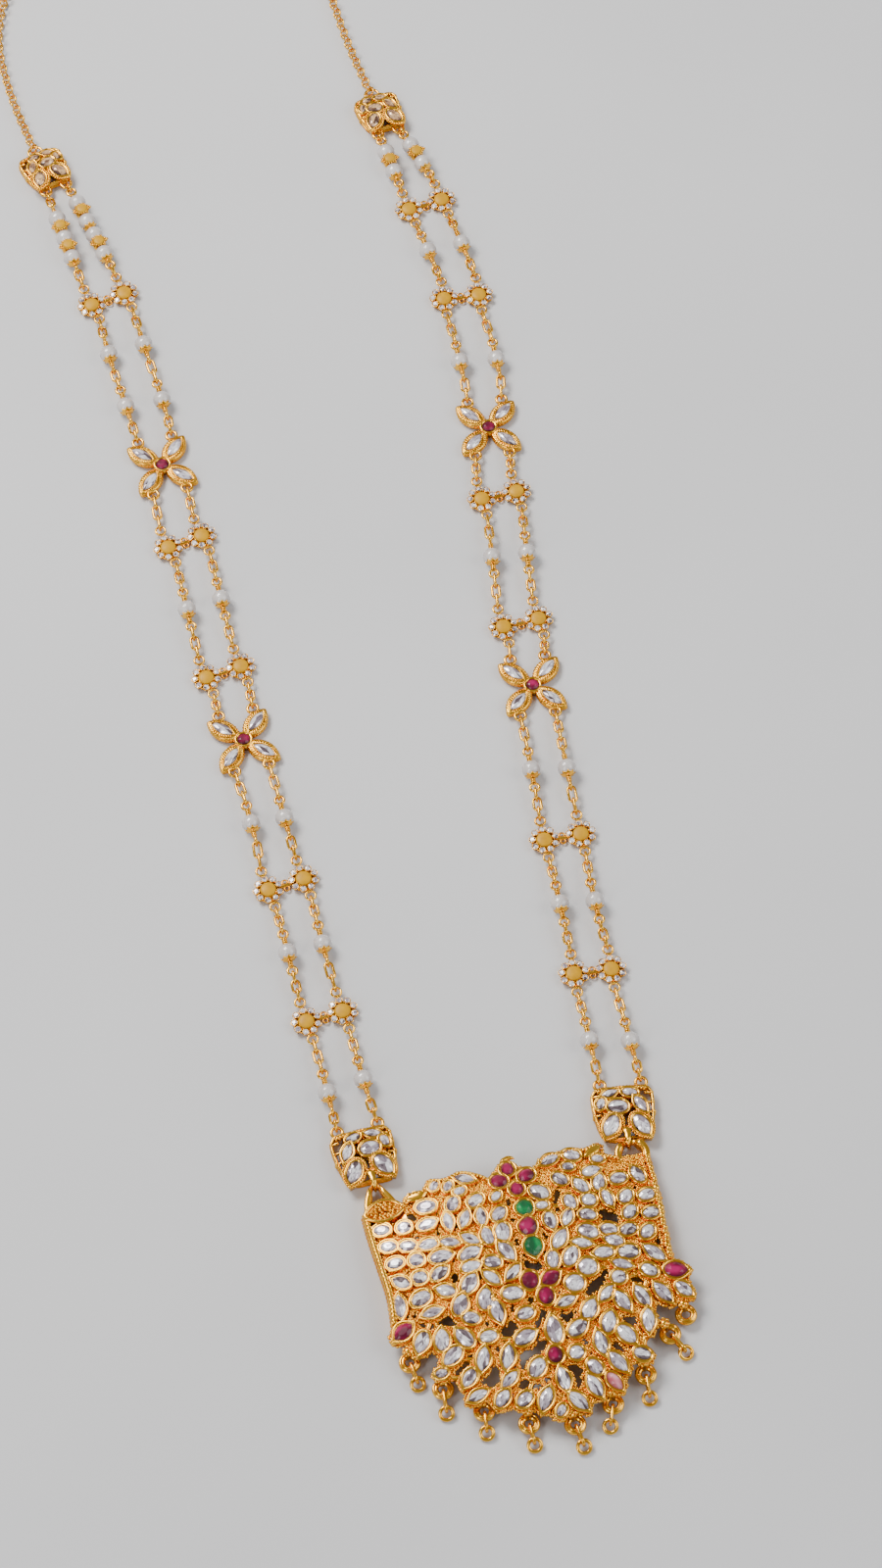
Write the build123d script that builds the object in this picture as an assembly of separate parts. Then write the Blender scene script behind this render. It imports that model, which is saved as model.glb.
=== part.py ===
from build123d import *
from collections import namedtuple
import math
import os

# Rani haar necklace lying flat. Millimetres, +Z up, +Y from the pendant towards the neck.
# Places are given in the pendant's frame, whose origin is the middle of the pendant plate,
# and CENTRE moves the finished pieces so that the whole necklace is centred on the part's origin.

CENTRE_X = -3.0
CENTRE_Y = 168.9

# Gaps and wires
STONE_GAP = 0.14
LINK_GAP = 0.18
WIRE = 0.25
CHAIN_RADIUS = 1.25

# Pendant plate: a slice of a ball, standing on its side walls and corners
Dome = namedtuple("Dome", "x y top radius thick")
PENDANT = Dome(-1.0, 0.0, 7.0, 170.0, 2.3)
BEZEL = 0.55
POCKET = 1.0
LATTICE_WIDTH = 0.9
LATTICE_LOW = 0.2
LATTICE_SINK = 0.2
LATTICE_REACH = 7.5
WALL_WIDTH = 1.2
WALL_FOOT = 0.3
WALL_SINK = 0.5
LOBE_SINK = 0.2

# Stones: depth below the bezel's top, girdle and table heights above it, table share
STONE_DEPTH = 0.85
GIRDLE_RISE = 0.1
TABLE_RISE = 0.5
TABLE_SHARE = 0.55

# Cuts of stone, by the letter that the rows below use
Cut = namedtuple("Cut", "form long wide")
CUTS = {
    "s": Cut("oval", 2.4, 1.7),
    "r": Cut("oval", 2.9, 2.7),
    "o": Cut("oval", 3.4, 2.4),
    "O": Cut("oval", 4.1, 2.9),
    "R": Cut("oval", 3.7, 3.5),
    "p": Cut("pear", 3.9, 2.4),
    "P": Cut("pear", 4.6, 2.8),
    "X": Cut("pear", 5.6, 3.0),
    "m": Cut("marquise", 4.1, 2.0),
    "M": Cut("marquise", 5.0, 2.5),
    "g": Cut("marquise", 3.8, 1.4),
}
MAIN_CUTS = "OPXR"
LEAF = "g"

# Rows of white stones, each from its first to its last stone, bowed in the middle.
# A letter is a cut, the number its turn in degrees from +X, and a dot leaves a gap.
Tier = namedtuple("Tier", "x0 y0 x1 y1 bow row")
TIERS = [
    Tier(-16.6, 25.5, -10.2, 25.6, -0.9, "s50 s50 m-25"),
    Tier(-20.7, 24.2, -11.8, 22.9, 0.0, "g5 s10"),
    Tier(-19.2, 21.2, -4.9, 19.8, -0.4, "O-5 o60 o30 s40"),
    Tier(-29.0, 18.5, -5.3, 15.7, -0.3, "o-10 r0 p10 m90 m60 m85 o45"),
    Tier(-28.5, 14.4, -5.5, 11.4, -0.9, "o-15 o-15 p180 m-20 m-40 p100 O80"),
    Tier(-28.0, 10.3, -5.7, 7.1, 0.2, "o0 r0 P0 P20 . M-65"),
    Tier(-27.8, 5.9, -9.0, 5.3, 0.0, "p140 r0 p25 . p5 o-20"),
    Tier(-29.2, 0.8, -5.5, 2.1, 0.3, "M85 O20 p155 P50 m-50 m40"),
    Tier(-23.2, -2.3, -6.6, -2.4, 0.2, "m5 P60 P75 O-10"),
    Tier(-15.9, -5.5, -5.1, -7.2, 1.0, "o-30 M95 o10"),
    Tier(7.7, 25.9, 16.8, 26.3, 0.0, "m20 o-20 g30"),
    Tier(11.0, 23.5, 17.4, 24.2, 0.0, "s-15 s-10"),
    Tier(8.7, 20.9, 15.4, 21.5, 0.0, "o-45 p10"),
    Tier(3.9, 18.8, 24.6, 19.2, -0.4, "O-40 . . p120 p70 o10 p110"),
    Tier(3.7, 15.6, 25.3, 14.1, 0.0, "s0 . o100 r0 m105 o45 o15"),
    Tier(4.5, 11.8, 25.2, 9.9, 0.6, "p-85 m60 o-20 . . o45 o10"),
    Tier(5.4, 7.3, 23.3, 5.7, 1.2, "M50 . O-30 o-15 o10 o40"),
    Tier(9.6, 5.5, 16.1, 4.9, 0.0, "m-20 p155"),
    Tier(3.0, 3.2, 23.6, 0.8, 0.6, "p80 P55 . p175 O-5 M-45"),
    Tier(9.5, 0.1, 16.5, -0.6, 0.0, "R0 m-25"),
    Tier(6.1, -2.9, 21.6, -2.8, -0.4, "R0 . . r0 . o-35"),
    Tier(3.5, -6.4, 11.9, -6.3, 0.0, "m15 m40"),
    Tier(7.7, -9.0, 27.6, -8.0, 0.3, "P55 . M-65 M-70 M-60 p-50"),
    Tier(-26.6, -8.0, -6.3, -12.1, 0.5, "P240 P80 P120 o0 . P20"),
    Tier(4.5, -12.4, 18.8, -13.4, 0.5, "P30 P65 . M80"),
    Tier(-21.3, -12.4, -10.6, -15.3, -0.6, "P215 M70 M70"),
    Tier(3.0, -17.4, 13.8, -15.6, 0.2, "r0 M95 P-55"),
    Tier(-24.2, -15.3, -19.1, -17.7, 0.0, "s0 p230"),
    Tier(-11.3, -19.9, -5.4, -18.8, 0.0, "m35 O50"),
    Tier(5.9, -21.0, 15.9, -20.1, -0.3, "o-55 M-60 o-30"),
    Tier(-18.2, -21.6, -5.2, -25.4, -0.4, "m15 p45 o35 M60"),
    Tier(-0.3, -11.8, -0.3, -11.8, 0.0, "X90"),
    Tier(-0.8, -22.2, -0.8, -22.2, 0.0, "M95"),
    Tier(-2.7, -28.3, 5.0, -24.8, -0.5, "s50 M-55 M-70"),
]

# Rubies, emeralds and one pink stone, each in a bezel of its own
Gem = namedtuple("Gem", "name x y turn form long wide")
GEMS = [
    Gem("ruby_flower_top", -1.2, 25.6, 90, "oval", 2.9, 2.7),
    Gem("ruby_flower_left", -3.5, 23.2, -20, "oval", 3.4, 2.9),
    Gem("ruby_flower_right", 2.2, 23.2, 25, "oval", 3.4, 2.8),
    Gem("ruby_flower_low", -0.4, 20.6, 90, "pear", 3.0, 2.8),
    Gem("emerald_upper", 0.1, 15.9, 90, "oval", 3.5, 3.4),
    Gem("ruby_middle", -0.2, 11.6, 80, "pear", 4.2, 3.6),
    Gem("emerald_lower", -0.2, 6.8, 270, "pear", 4.5, 3.6),
    Gem("ruby_trio_left", -2.6, -0.4, 90, "oval", 3.7, 3.2),
    Gem("ruby_trio_right", 1.6, -0.8, 25, "marquise", 4.1, 2.9),
    Gem("ruby_trio_low", -0.2, -4.4, 90, "oval", 3.6, 3.0),
    Gem("ruby_lower", -1.3, -17.0, 90, "oval", 3.3, 2.9),
    Gem("ruby_side_left", -29.7, -4.7, 30, "marquise", 4.6, 3.2),
    Gem("ruby_side_right", 27.0, -3.6, -10, "pear", 4.8, 3.3),
    Gem("pink_stone", 9.1, -24.7, -60, "pear", 4.2, 2.2),
]

# Outline strips of the plate: the side walls and the two scalloped lobes
LEFT_WALL = [(-31.4, 22.8), (-31.3, 17.5), (-30.8, 10.0), (-30.4, 3.5), (-30.9, -2.6)]
RIGHT_WALL = [(27.6, 23.0), (27.4, 16.0), (27.0, 9.0), (26.6, 3.0), (26.4, -1.5)]
LEFT_LOBE = [(-23.8, 22.6), (-21.8, 24.6), (-18.7, 25.0), (-17.4, 26.9), (-14.2, 26.4),
             (-10.6, 27.1), (-7.2, 25.4), (-5.6, 23.9)]
RIGHT_LOBE = [(3.9, 24.2), (6.0, 25.9), (8.4, 27.0), (10.7, 26.5), (12.9, 27.3),
              (15.2, 26.8), (17.4, 27.3), (17.0, 25.4), (19.2, 24.6), (21.8, 23.6)]
LOBE_WIDTH = 0.8
LOBE_FOOT = 21.0
CORNERS = [(-31.6, -23.4, 19.9, 23.4), (18.6, 27.8, 20.2, 24.2)]

# Curved horn on top of the ruby flower
HORN = [(-1.8, 26.9), (-1.5, 28.0), (0.1, 28.3)]
HORN_RADIUS = 0.42

# Bails at the plate's upper corners
BAIL_WIRE = 0.42
LEFT_BAIL = [(-31.2, 22.6), (-28.2, 31.2), (-24.2, 22.8)]
BAIL_CORNER = 1.2
RIGHT_BAIL = (24.8, 24.3)
RIGHT_BAIL_RADIUS = 3.0
BAIL_Z = 1.9

# Eyes along the lower edge, each with the centre of its ring, or none
Drop = namedtuple("Drop", "x y ring_x ring_y")
DROPS = [
    Drop(-29.6, -10.3, -29.0, -15.0),
    Drop(-24.4, -17.4, -24.8, -22.4),
    Drop(-17.4, -23.8, -17.9, -28.3),
    Drop(-9.3, -28.4, -9.2, -32.9),
    Drop(-0.4, -30.6, 0.3, -35.4),
    Drop(8.0, -28.0, 6.4, -32.3),
    Drop(15.9, -23.2, 15.5, -28.2),
    Drop(22.8, -15.8, 25.0, -20.2),
]
BARE_EYE = (26.9, -12.4)
EYE_RADIUS = 1.35
EYE_WIRE = 0.5
EYE_Z = 1.5
RING_RADIUS = 1.3
RING_WIRE = 0.4
RING_Z = 0.95
RING_TILT = 25.0
DROP_WIRE = 0.36
DROP_HALF_WIDTH = 1.0
NECK_RADIUS = 0.9
NECK_BACK = 1.7
NECK_ARM_WIDTH = 1.4

# Connectors: low ones carry the pendant by an upright eyelet, top ones the back chain
Connector = namedtuple("Connector", "scale eyes_v eye_half")
LOW = Connector(1.0, 7.3, 4.3)
TOP = Connector(0.78, -5.2, 2.5)
CONNECTOR_DOME = Dome(0.0, 0.0, 3.0, 60.0, 1.9)
CONNECTOR_STONES = [
    Gem("low_left", -3.1, -2.7, 240, "pear", 4.8, 3.0),
    Gem("low_right", 3.3, -3.0, -60, "pear", 4.8, 2.9),
    Gem("middle", -1.2, 1.6, -5, "oval", 4.0, 2.8),
    Gem("slant", 3.5, 1.8, -60, "marquise", 4.0, 1.9),
    Gem("side", -4.6, 2.6, 70, "oval", 2.4, 1.7),
    Gem("upper_left", -2.6, 4.8, 15, "marquise", 3.4, 1.5),
    Gem("upper_right", 1.6, 4.7, -12, "oval", 3.0, 1.6),
]
CONNECTOR_FRAME = [(-5.6, 5.8), (-6.0, 0.5), (-4.4, -4.6), (0.0, -5.2), (4.6, -4.8), (6.0, 0.5),
                   (5.6, 5.8), (0.0, 6.2), (-5.6, 5.8)]
FRAME_WIDTH = 0.9
FRAME_SINK = 0.3
CONNECTOR_LOW = 1.8
LOW_EYELET_V = -6.3
LOW_EYELET_RADIUS = 1.3
LOW_EYELET_WIRE = 0.35
LOW_EYELET_Z = 1.9
TOP_RING_V = 5.9
TOP_RING_RADIUS = 1.55
TOP_RING_WIRE = 0.275

# Daisy pairs: nine stone cups round an enamel boss, two flowers on one bar
DAISY_CUPS = 9
CUP_RADIUS = 0.76
CUP_CIRCLE = 2.35
CUP_POCKET = 0.58
CUP_BOTTOM = 0.35
CUP_TOP = 1.3
DISC_RADIUS = 1.8
DISC_TOP = 0.95
BOSS_RADIUS = 1.62
BOSS_TOP = 1.45
DAISY_EYE = 4.5
EYELET = 1.05
STEM_WIDTH = 0.8
STEM_LOW = 0.4
STEM_TOP = 0.95
POST_TOP = 1.25
POST_START = 2.95
BAR_WIDTH = 0.9
BAR_LOW = 0.1
BAR_TOP = 0.85

# Butterfly links: four leaf petals round a ruby cup
PETAL = Cut("marquise", 7.6, 3.9)
PETAL_STONE = Cut("marquise", 5.2, 2.2)
PETAL_REACH = 4.9
PETAL_TOP = 1.7
HEART = Cut("oval", 2.6, 2.5)
HEART_TOP = 1.9
BUTTERFLY_EYE_U = 3.8
BUTTERFLY_EYE_V = 7.1
WING_STEM_TOP = 1.55

# Strings
PEARL_RADIUS = 2.0
DRILL = 0.36
PIN = 0.23
PIN_LOOP = 0.95
CAP_ROOM = 1.5
SPACER_RADIUS = 1.5
SPACER_LENGTH = 1.5
SPACER_ROUND = 0.45
BEAD_STEP_GAP = 0.12
EYE_LEVEL = 1.35
PEARL_LEVEL = 2.02
LINK_HALF_WIDTH = 0.8
LONGEST_LINK = 1.8

# A side of the necklace: where it starts, its heading from +Y in degrees, then rows of
# length and the heading at their end
Leg = namedtuple("Leg", "length heading")
LEFT_START = (-28.7, 43.2, -2.3)
LEFT_ROUTE = [Leg(175.0, -2.6), Leg(40.0, -5.5), Leg(22.0, -12.0), Leg(40.0, -7.0)]
RIGHT_START = (26.4, 41.0, 1.0)
RIGHT_ROUTE = [Leg(90.0, 4.0), Leg(85.0, 6.0), Leg(40.0, -5.0), Leg(25.0, -11.0), Leg(30.0, -6.0)]

# Stations along a side: distance, gap between the two strings, turn of the pair, beads a string
Station = namedtuple("Station", "kind at gap turn left right")
LEFT_SIDE = [
    Station("low", 0.0, 8.6, 0, 0, 0),
    Station("pearl", 9.6, 8.0, 8, 1, 1),
    Station("daisy", 26.9, 7.9, 3, 0, 0),
    Station("pearl", 43.0, 7.6, 1, 1, 1),
    Station("daisy", 59.4, 7.9, 5, 0, 0),
    Station("pearl", 74.8, 7.2, -4, 1, 1),
    Station("butterfly", 95.8, 7.6, 0, 0, 0),
    Station("daisy", 113.7, 7.9, 6, 0, 0),
    Station("pearl", 131.0, 7.8, 5, 1, 1),
    Station("daisy", 148.4, 7.9, 8, 0, 0),
    Station("butterfly", 169.0, 7.6, 0, 0, 0),
    Station("pearl", 185.8, 8.2, -4, 1, 1),
    Station("pearl", 201.0, 8.2, 2, 1, 1),
    Station("daisy", 216.1, 7.9, 6, 0, 0),
    Station("group", 232.4, 6.6, -4, 3, 4),
    Station("top", 249.6, 5.0, 4, 0, 0),
]
RIGHT_SIDE = [
    Station("low", 0.0, 8.6, -6, 0, 0),
    Station("pearl", 9.9, 8.4, -12, 1, 1),
    Station("daisy", 27.0, 7.9, -3, 0, 0),
    Station("pearl", 43.2, 7.4, -5, 1, 1),
    Station("daisy", 59.8, 7.9, 1, 0, 0),
    Station("pearl", 76.2, 7.6, -6, 1, 1),
    Station("butterfly", 97.6, 7.6, 0, 0, 0),
    Station("daisy", 113.9, 7.9, 7, 0, 0),
    Station("pearl", 131.0, 7.7, 0, 1, 1),
    Station("daisy", 147.3, 7.9, 7, 0, 0),
    Station("butterfly", 165.2, 7.6, 0, 0, 0),
    Station("pearl", 183.0, 8.2, -4, 1, 1),
    Station("daisy", 201.4, 7.9, -6, 0, 0),
    Station("pearl", 215.0, 7.9, -3, 1, 1),
    Station("daisy", 228.4, 7.9, -1, 0, 0),
    Station("group", 240.6, 6.4, -4, 2, 2),
    Station("top", 250.6, 5.0, -2, 0, 0),
]

# Back chain as one tube a side, its corners chosen by hand, and the clasp between them
LEFT_CHAIN = [(-47.9, 304.9), (-50.3, 320.5), (-50.6, 337.5), (-44.6, 353.6), (-30.4, 365.0),
              (-13.5, 370.7)]
RIGHT_CHAIN = [(31.0, 303.9), (28.9, 319.0), (28.2, 335.5), (22.0, 351.0), (9.8, 363.4),
               (-5.0, 370.5)]
CLASP = (-9.4, 371.0)
CLASP_RADIUS = 3.0
CLASP_WIRE = 0.8

ON_FOOT = (Align.CENTER, Align.CENTER, Align.MIN)


# Stones and their outlines

def outline(form, long, wide, grow=0.0):
    """Corners of an eight-sided oval, pear or marquise, its long axis and point along +X."""
    points = []
    for step in range(8):
        angle = math.radians(45.0 * step)
        across = math.sin(angle)
        pointed = form == "marquise" or (form == "pear" and math.cos(angle) > 0.1)
        if pointed:
            across *= abs(across) ** 0.7
        points.append(((long / 2 + grow) * math.cos(angle), (wide / 2 + grow) * across))
    return points


def polygon(points, z=0.0):
    return Wire.make_polygon([Vector(x, y, z) for x, y in points], close=True)


def moved(points, x, y, turn):
    c = math.cos(math.radians(turn))
    s = math.sin(math.radians(turn))
    return [(x + c * u - s * v, y + s * u + c * v) for u, v in points]


def seat(dome, x, y, turn=0.0):
    """Where a stone sits on a dome: origin on its surface, +Z out of it, +X along the turn."""
    drop = math.sqrt(dome.radius ** 2 - (x - dome.x) ** 2 - (y - dome.y) ** 2)
    point = Vector(x, y, dome.top - dome.radius + drop)
    out = point - Vector(dome.x, dome.y, dome.top - dome.radius)
    along = (math.cos(math.radians(turn)), math.sin(math.radians(turn)), 0)
    return Plane(origin=point, x_dir=along, z_dir=out.normalized()).location


def cut_stone(form, long, wide):
    """Foil-backed stone: flat below, upright girdle, eight crown facets and a table."""
    base = outline(form, long, wide, -STONE_GAP)
    table = [(x * TABLE_SHARE, y * TABLE_SHARE) for x, y in base]
    rings = [polygon(base, -STONE_DEPTH), polygon(base, GIRDLE_RISE), polygon(table, TABLE_RISE)]
    return Solid.make_loft(rings, True)


# Layout of the pendant

Setting = namedtuple("Setting", "x y turn form long wide letter tier")


def tier_settings(index, tier):
    """Stones of a row, spread between its ends by how wide each lies along the row."""
    chord = math.atan2(tier.y1 - tier.y0, tier.x1 - tier.x0)
    marks = []
    for word in tier.row.split():
        if word == ".":
            marks.append((None, 0.0, 0.9))
            continue
        cut = CUTS[word[0]]
        turn = float(word[1:])
        lean = math.radians(turn) - chord
        half = math.hypot(cut.long / 2 * math.cos(lean), cut.wide / 2 * math.sin(lean))
        marks.append((word[0], turn, half + BEZEL / 2))
    steps = [0.0]
    for before, after in zip(marks, marks[1:]):
        steps.append(steps[-1] + before[2] + after[2])
    total = steps[-1] or 1.0
    settings = []
    for (letter, turn, half), step in zip(marks, steps):
        if letter is None:
            continue
        u = step / total
        x = tier.x0 + (tier.x1 - tier.x0) * u
        y = tier.y0 + (tier.y1 - tier.y0) * u + 4.0 * tier.bow * u * (1.0 - u)
        settings.append(Setting(x, y, turn, *CUTS[letter], letter, index))
    return settings


def pendant_settings():
    settings = []
    for index, tier in enumerate(TIERS):
        settings += tier_settings(index, tier)
    for gem in GEMS:
        settings.append(Setting(gem.x, gem.y, gem.turn, gem.form, gem.long, gem.wide, "", -1))
    return settings


# Plates

def prism(faces, low, high):
    solids = [Solid.extrude(Pos(0, 0, low) * face, Vector(0, 0, high - low)) for face in faces]
    return Part() + solids


def ball(dome, depth=0.0):
    centre = Pos(dome.x, dome.y, dome.top - dome.radius)
    return centre * Sphere(dome.radius - depth)


def under(dome, faces, foot, depth=0.0):
    """Upright walls from the foot to a dome's surface."""
    return prism(faces, foot, dome.top + 1.0) & ball(dome, depth)


def bar(start, end, width):
    run = math.dist(start, end)
    turn = math.degrees(math.atan2(end[1] - start[1], end[0] - start[0]))
    place = Pos((start[0] + end[0]) / 2, (start[1] + end[1]) / 2) * Rot(0, 0, turn)
    return place * Rectangle(run, width)


def strip(points, width):
    """A flat ribbon along points, round at its corners."""
    shape = Sketch()
    for start, end in zip(points, points[1:]):
        shape += bar(start, end, width)
    for x, y in points:
        shape += Pos(x, y) * Circle(width / 2)
    return shape


def bezels(settings):
    faces = []
    for s in settings:
        points = moved(outline(s.form, s.long, s.wide, BEZEL), s.x, s.y, s.turn)
        faces.append(Face(polygon(points)))
    return Sketch() + faces


def lattice(settings, reach):
    """Bars from each setting to the next of its row and to its nearest of the other rows."""
    pairs = set()
    for i, a in enumerate(settings):
        near = sorted(range(len(settings)), key=lambda j: math.dist(a[:2], settings[j][:2]))
        others = [j for j in near[1:] if settings[j].tier != a.tier][:2]
        same = [j for j in near[1:] if settings[j].tier == a.tier][:1]
        for j in others + same:
            if math.dist(a[:2], settings[j][:2]) < reach:
                pairs.add((min(i, j), max(i, j)))
    bars = [bar(settings[i][:2], settings[j][:2], LATTICE_WIDTH) for i, j in sorted(pairs)]
    return Sketch() + bars


def pockets(settings, dome):
    tools = []
    for s in settings:
        if s.letter == LEAF:
            continue
        face = Face(polygon(outline(s.form, s.long, s.wide), -POCKET))
        tools.append(seat(dome, s.x, s.y, s.turn) * Solid.extrude(face, Vector(0, 0, 3.0)))
    return tools


def lobe(points):
    """Area of a scalloped lobe down to its straight foot."""
    return Face(polygon(points + [(points[-1][0], LOBE_FOOT), (points[0][0], LOBE_FOOT)]))


def corner(x0, x1, y0, y1):
    return Pos((x0 + x1) / 2, (y0 + y1) / 2) * Rectangle(x1 - x0, y1 - y0)


def wire_tube(path, radius):
    """A round wire along a path."""
    section = Plane(origin=path @ 0, z_dir=path % 0) * Circle(radius)
    return sweep(section, path=path)


def horn():
    z = seat(PENDANT, *HORN[0]).position.Z - 0.8
    path = ThreePointArc(*[(x, y, z) for x, y in HORN])
    return wire_tube(path, HORN_RADIUS) + Pos(*(path @ 1)) * Sphere(HORN_RADIUS)


def left_bail():
    points = [(x, y, BAIL_Z) for x, y in LEFT_BAIL]
    return wire_tube(FilletPolyline(*points, radius=BAIL_CORNER, close=True), BAIL_WIRE)


def right_bail():
    return Pos(*RIGHT_BAIL, BAIL_Z) * Torus(RIGHT_BAIL_RADIUS, BAIL_WIRE)


def neck_foot(x, y, turn):
    back = math.radians(turn)
    return x - NECK_BACK * math.cos(back), y - NECK_BACK * math.sin(back)


def neck_arm(foot, settings):
    """Bar of the lattice from an eye's neck to the setting next to it."""
    near = min(settings, key=lambda s: math.dist(foot, s[:2]))
    return bar(foot, near[:2], NECK_ARM_WIDTH)


def drop_eye(x, y, turn):
    """An eye below the plate's edge and the neck that joins it to the plate."""
    foot = neck_foot(x, y, turn)
    top = seat(PENDANT, *foot).position.Z - POCKET - LATTICE_SINK
    neck = Pos(*foot, EYE_Z - EYE_WIRE) * Cylinder(NECK_RADIUS, top - EYE_Z + EYE_WIRE, align=ON_FOOT)
    return Pos(x, y, EYE_Z) * Torus(EYE_RADIUS, EYE_WIRE) + neck


def pendant_plate(settings):
    dome = PENDANT
    body = under(dome, bezels(settings).faces(), 0.0) - ball(dome, dome.thick)
    eyes = [(*BARE_EYE, -90.0)] + [(d.x, d.y, drop_turn(d)) for d in DROPS]
    spread = lattice(settings, LATTICE_REACH)
    spread += lobe(LEFT_LOBE) + lobe(RIGHT_LOBE)
    spread += [neck_arm(neck_foot(*eye), settings) for eye in eyes]
    for box in CORNERS:
        spread += corner(*box)
    low = dome.thick - LATTICE_LOW
    body += under(dome, spread.faces(), 0.0, POCKET + LATTICE_SINK) - ball(dome, low)
    for points in (LEFT_LOBE, RIGHT_LOBE):
        body += under(dome, strip(points, LOBE_WIDTH).faces(), 0.0, LOBE_SINK) - ball(dome, low)
    for points in (LEFT_WALL, RIGHT_WALL):
        body += under(dome, strip(points, WALL_WIDTH).faces(), WALL_FOOT, WALL_SINK)
    body -= pockets(settings, dome)
    return body + [horn(), left_bail(), right_bail()] + [drop_eye(*eye) for eye in eyes]


def drop_turn(drop):
    return math.degrees(math.atan2(drop.ring_y - drop.y, drop.ring_x - drop.x))


def drop_ring(drop):
    """Ring that leans on the surface, its near side raised to the link."""
    place = Pos(drop.ring_x, drop.ring_y, RING_Z) * Rot(0, 0, drop_turn(drop)) * Rot(0, RING_TILT, 0)
    return place * Torus(RING_RADIUS, RING_WIRE)


def drop_link(drop):
    """Upright link that holds the eye's far wire and the ring's near wire."""
    turn = math.radians(drop_turn(drop))
    run = math.dist((drop.x, drop.y), (drop.ring_x, drop.ring_y))
    inner = EYE_RADIUS - EYE_WIRE - DROP_WIRE - LINK_GAP
    tilt = math.radians(RING_TILT)
    outer = run - RING_RADIUS * math.cos(tilt) + RING_WIRE + DROP_WIRE + LINK_GAP
    middle = (inner + outer) / 2
    level = (EYE_Z + RING_Z + RING_RADIUS * math.sin(tilt)) / 2
    x = drop.x + middle * math.cos(turn)
    y = drop.y + middle * math.sin(turn)
    place = Pos(x, y, level) * Rot(0, 0, drop_turn(drop)) * Rot(90, 0, 0)
    return place * link((outer - inner) / 2, DROP_HALF_WIDTH, DROP_WIRE)


# Links, connectors, daisies and butterflies, each in its own frame with +Y up the strand

def link(half_length, half_width, wire):
    """Oval link in the XY plane, long along X, sizes to the wire's middle."""
    straight = half_length - half_width
    if straight < 0.03:
        return Torus(half_length, wire)
    path = SlotCenterToCenter(2 * straight, 2 * half_width).wire()
    return wire_tube(path, wire)


def scaled(gem, scale, mirror):
    x = -gem.x if mirror else gem.x
    turn = 180.0 - gem.turn if mirror else gem.turn
    return Setting(x * scale, gem.y * scale, turn, gem.form, gem.long * scale, gem.wide * scale, "", 0)


def connector(kind, mirror):
    dome = CONNECTOR_DOME
    settings = [scaled(gem, kind.scale, mirror) for gem in CONNECTOR_STONES]
    frame = [(u * kind.scale, v * kind.scale) for u, v in CONNECTOR_FRAME]
    body = under(dome, bezels(settings).faces(), 0.0) - ball(dome, dome.thick)
    web = lattice(settings, LATTICE_REACH).faces()
    body += under(dome, web, 0.0, POCKET + LATTICE_SINK) - ball(dome, CONNECTOR_LOW)
    body += under(dome, strip(frame, FRAME_WIDTH).faces(), 0.0, FRAME_SINK)
    body -= pockets(settings, dome)
    for u in (-kind.eye_half, kind.eye_half):
        body += Pos(u, kind.eyes_v, EYE_LEVEL) * Torus(EYELET, WIRE)
    if kind is LOW:
        upright = Torus(LOW_EYELET_RADIUS, LOW_EYELET_WIRE)
        body += Pos(0, LOW_EYELET_V, LOW_EYELET_Z) * Rot(0, 90, 0) * upright
    else:
        body += Pos(0, TOP_RING_V, EYE_LEVEL) * Torus(TOP_RING_RADIUS, TOP_RING_WIRE)
    return body


def box_between(x0, x1, y0, y1, z0, z1):
    middle = Pos((x0 + x1) / 2, (y0 + y1) / 2, (z0 + z1) / 2)
    return middle * Box(x1 - x0, y1 - y0, z1 - z0)


def daisy(middle):
    """Enamel boss in a ring of stone cups, an eye at each end."""
    place = Pos(middle, 0)
    body = place * Cylinder(DISC_RADIUS, DISC_TOP, align=ON_FOOT)
    body += place * Cylinder(BOSS_RADIUS, BOSS_TOP, align=ON_FOOT)
    for k in range(DAISY_CUPS):
        angle = math.radians(90.0 + 360.0 * k / DAISY_CUPS)
        cup = place * Pos(CUP_CIRCLE * math.cos(angle), CUP_CIRCLE * math.sin(angle))
        body += cup * Pos(0, 0, CUP_BOTTOM) * Cylinder(CUP_RADIUS, CUP_TOP - CUP_BOTTOM, align=ON_FOOT)
        body -= cup * Pos(0, 0, DISC_TOP) * Cylinder(CUP_POCKET, 1.0, align=ON_FOOT)
    half = STEM_WIDTH / 2
    for end in (-1, 1):
        reach = end * (DAISY_EYE - EYELET)
        for foot, top in ((0, STEM_TOP), (end * POST_START, POST_TOP)):
            body += box_between(middle - half, middle + half, min(foot, reach), max(foot, reach),
                                STEM_LOW, top)
        body += Pos(middle, end * DAISY_EYE, EYE_LEVEL) * Torus(EYELET, WIRE)
    return body


def daisy_pair(gap):
    half = gap / 2
    bar_half = BAR_WIDTH / 2
    body = daisy(-half) + daisy(half)
    return body + box_between(-half, half, -bar_half, bar_half, BAR_LOW, BAR_TOP)


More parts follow.
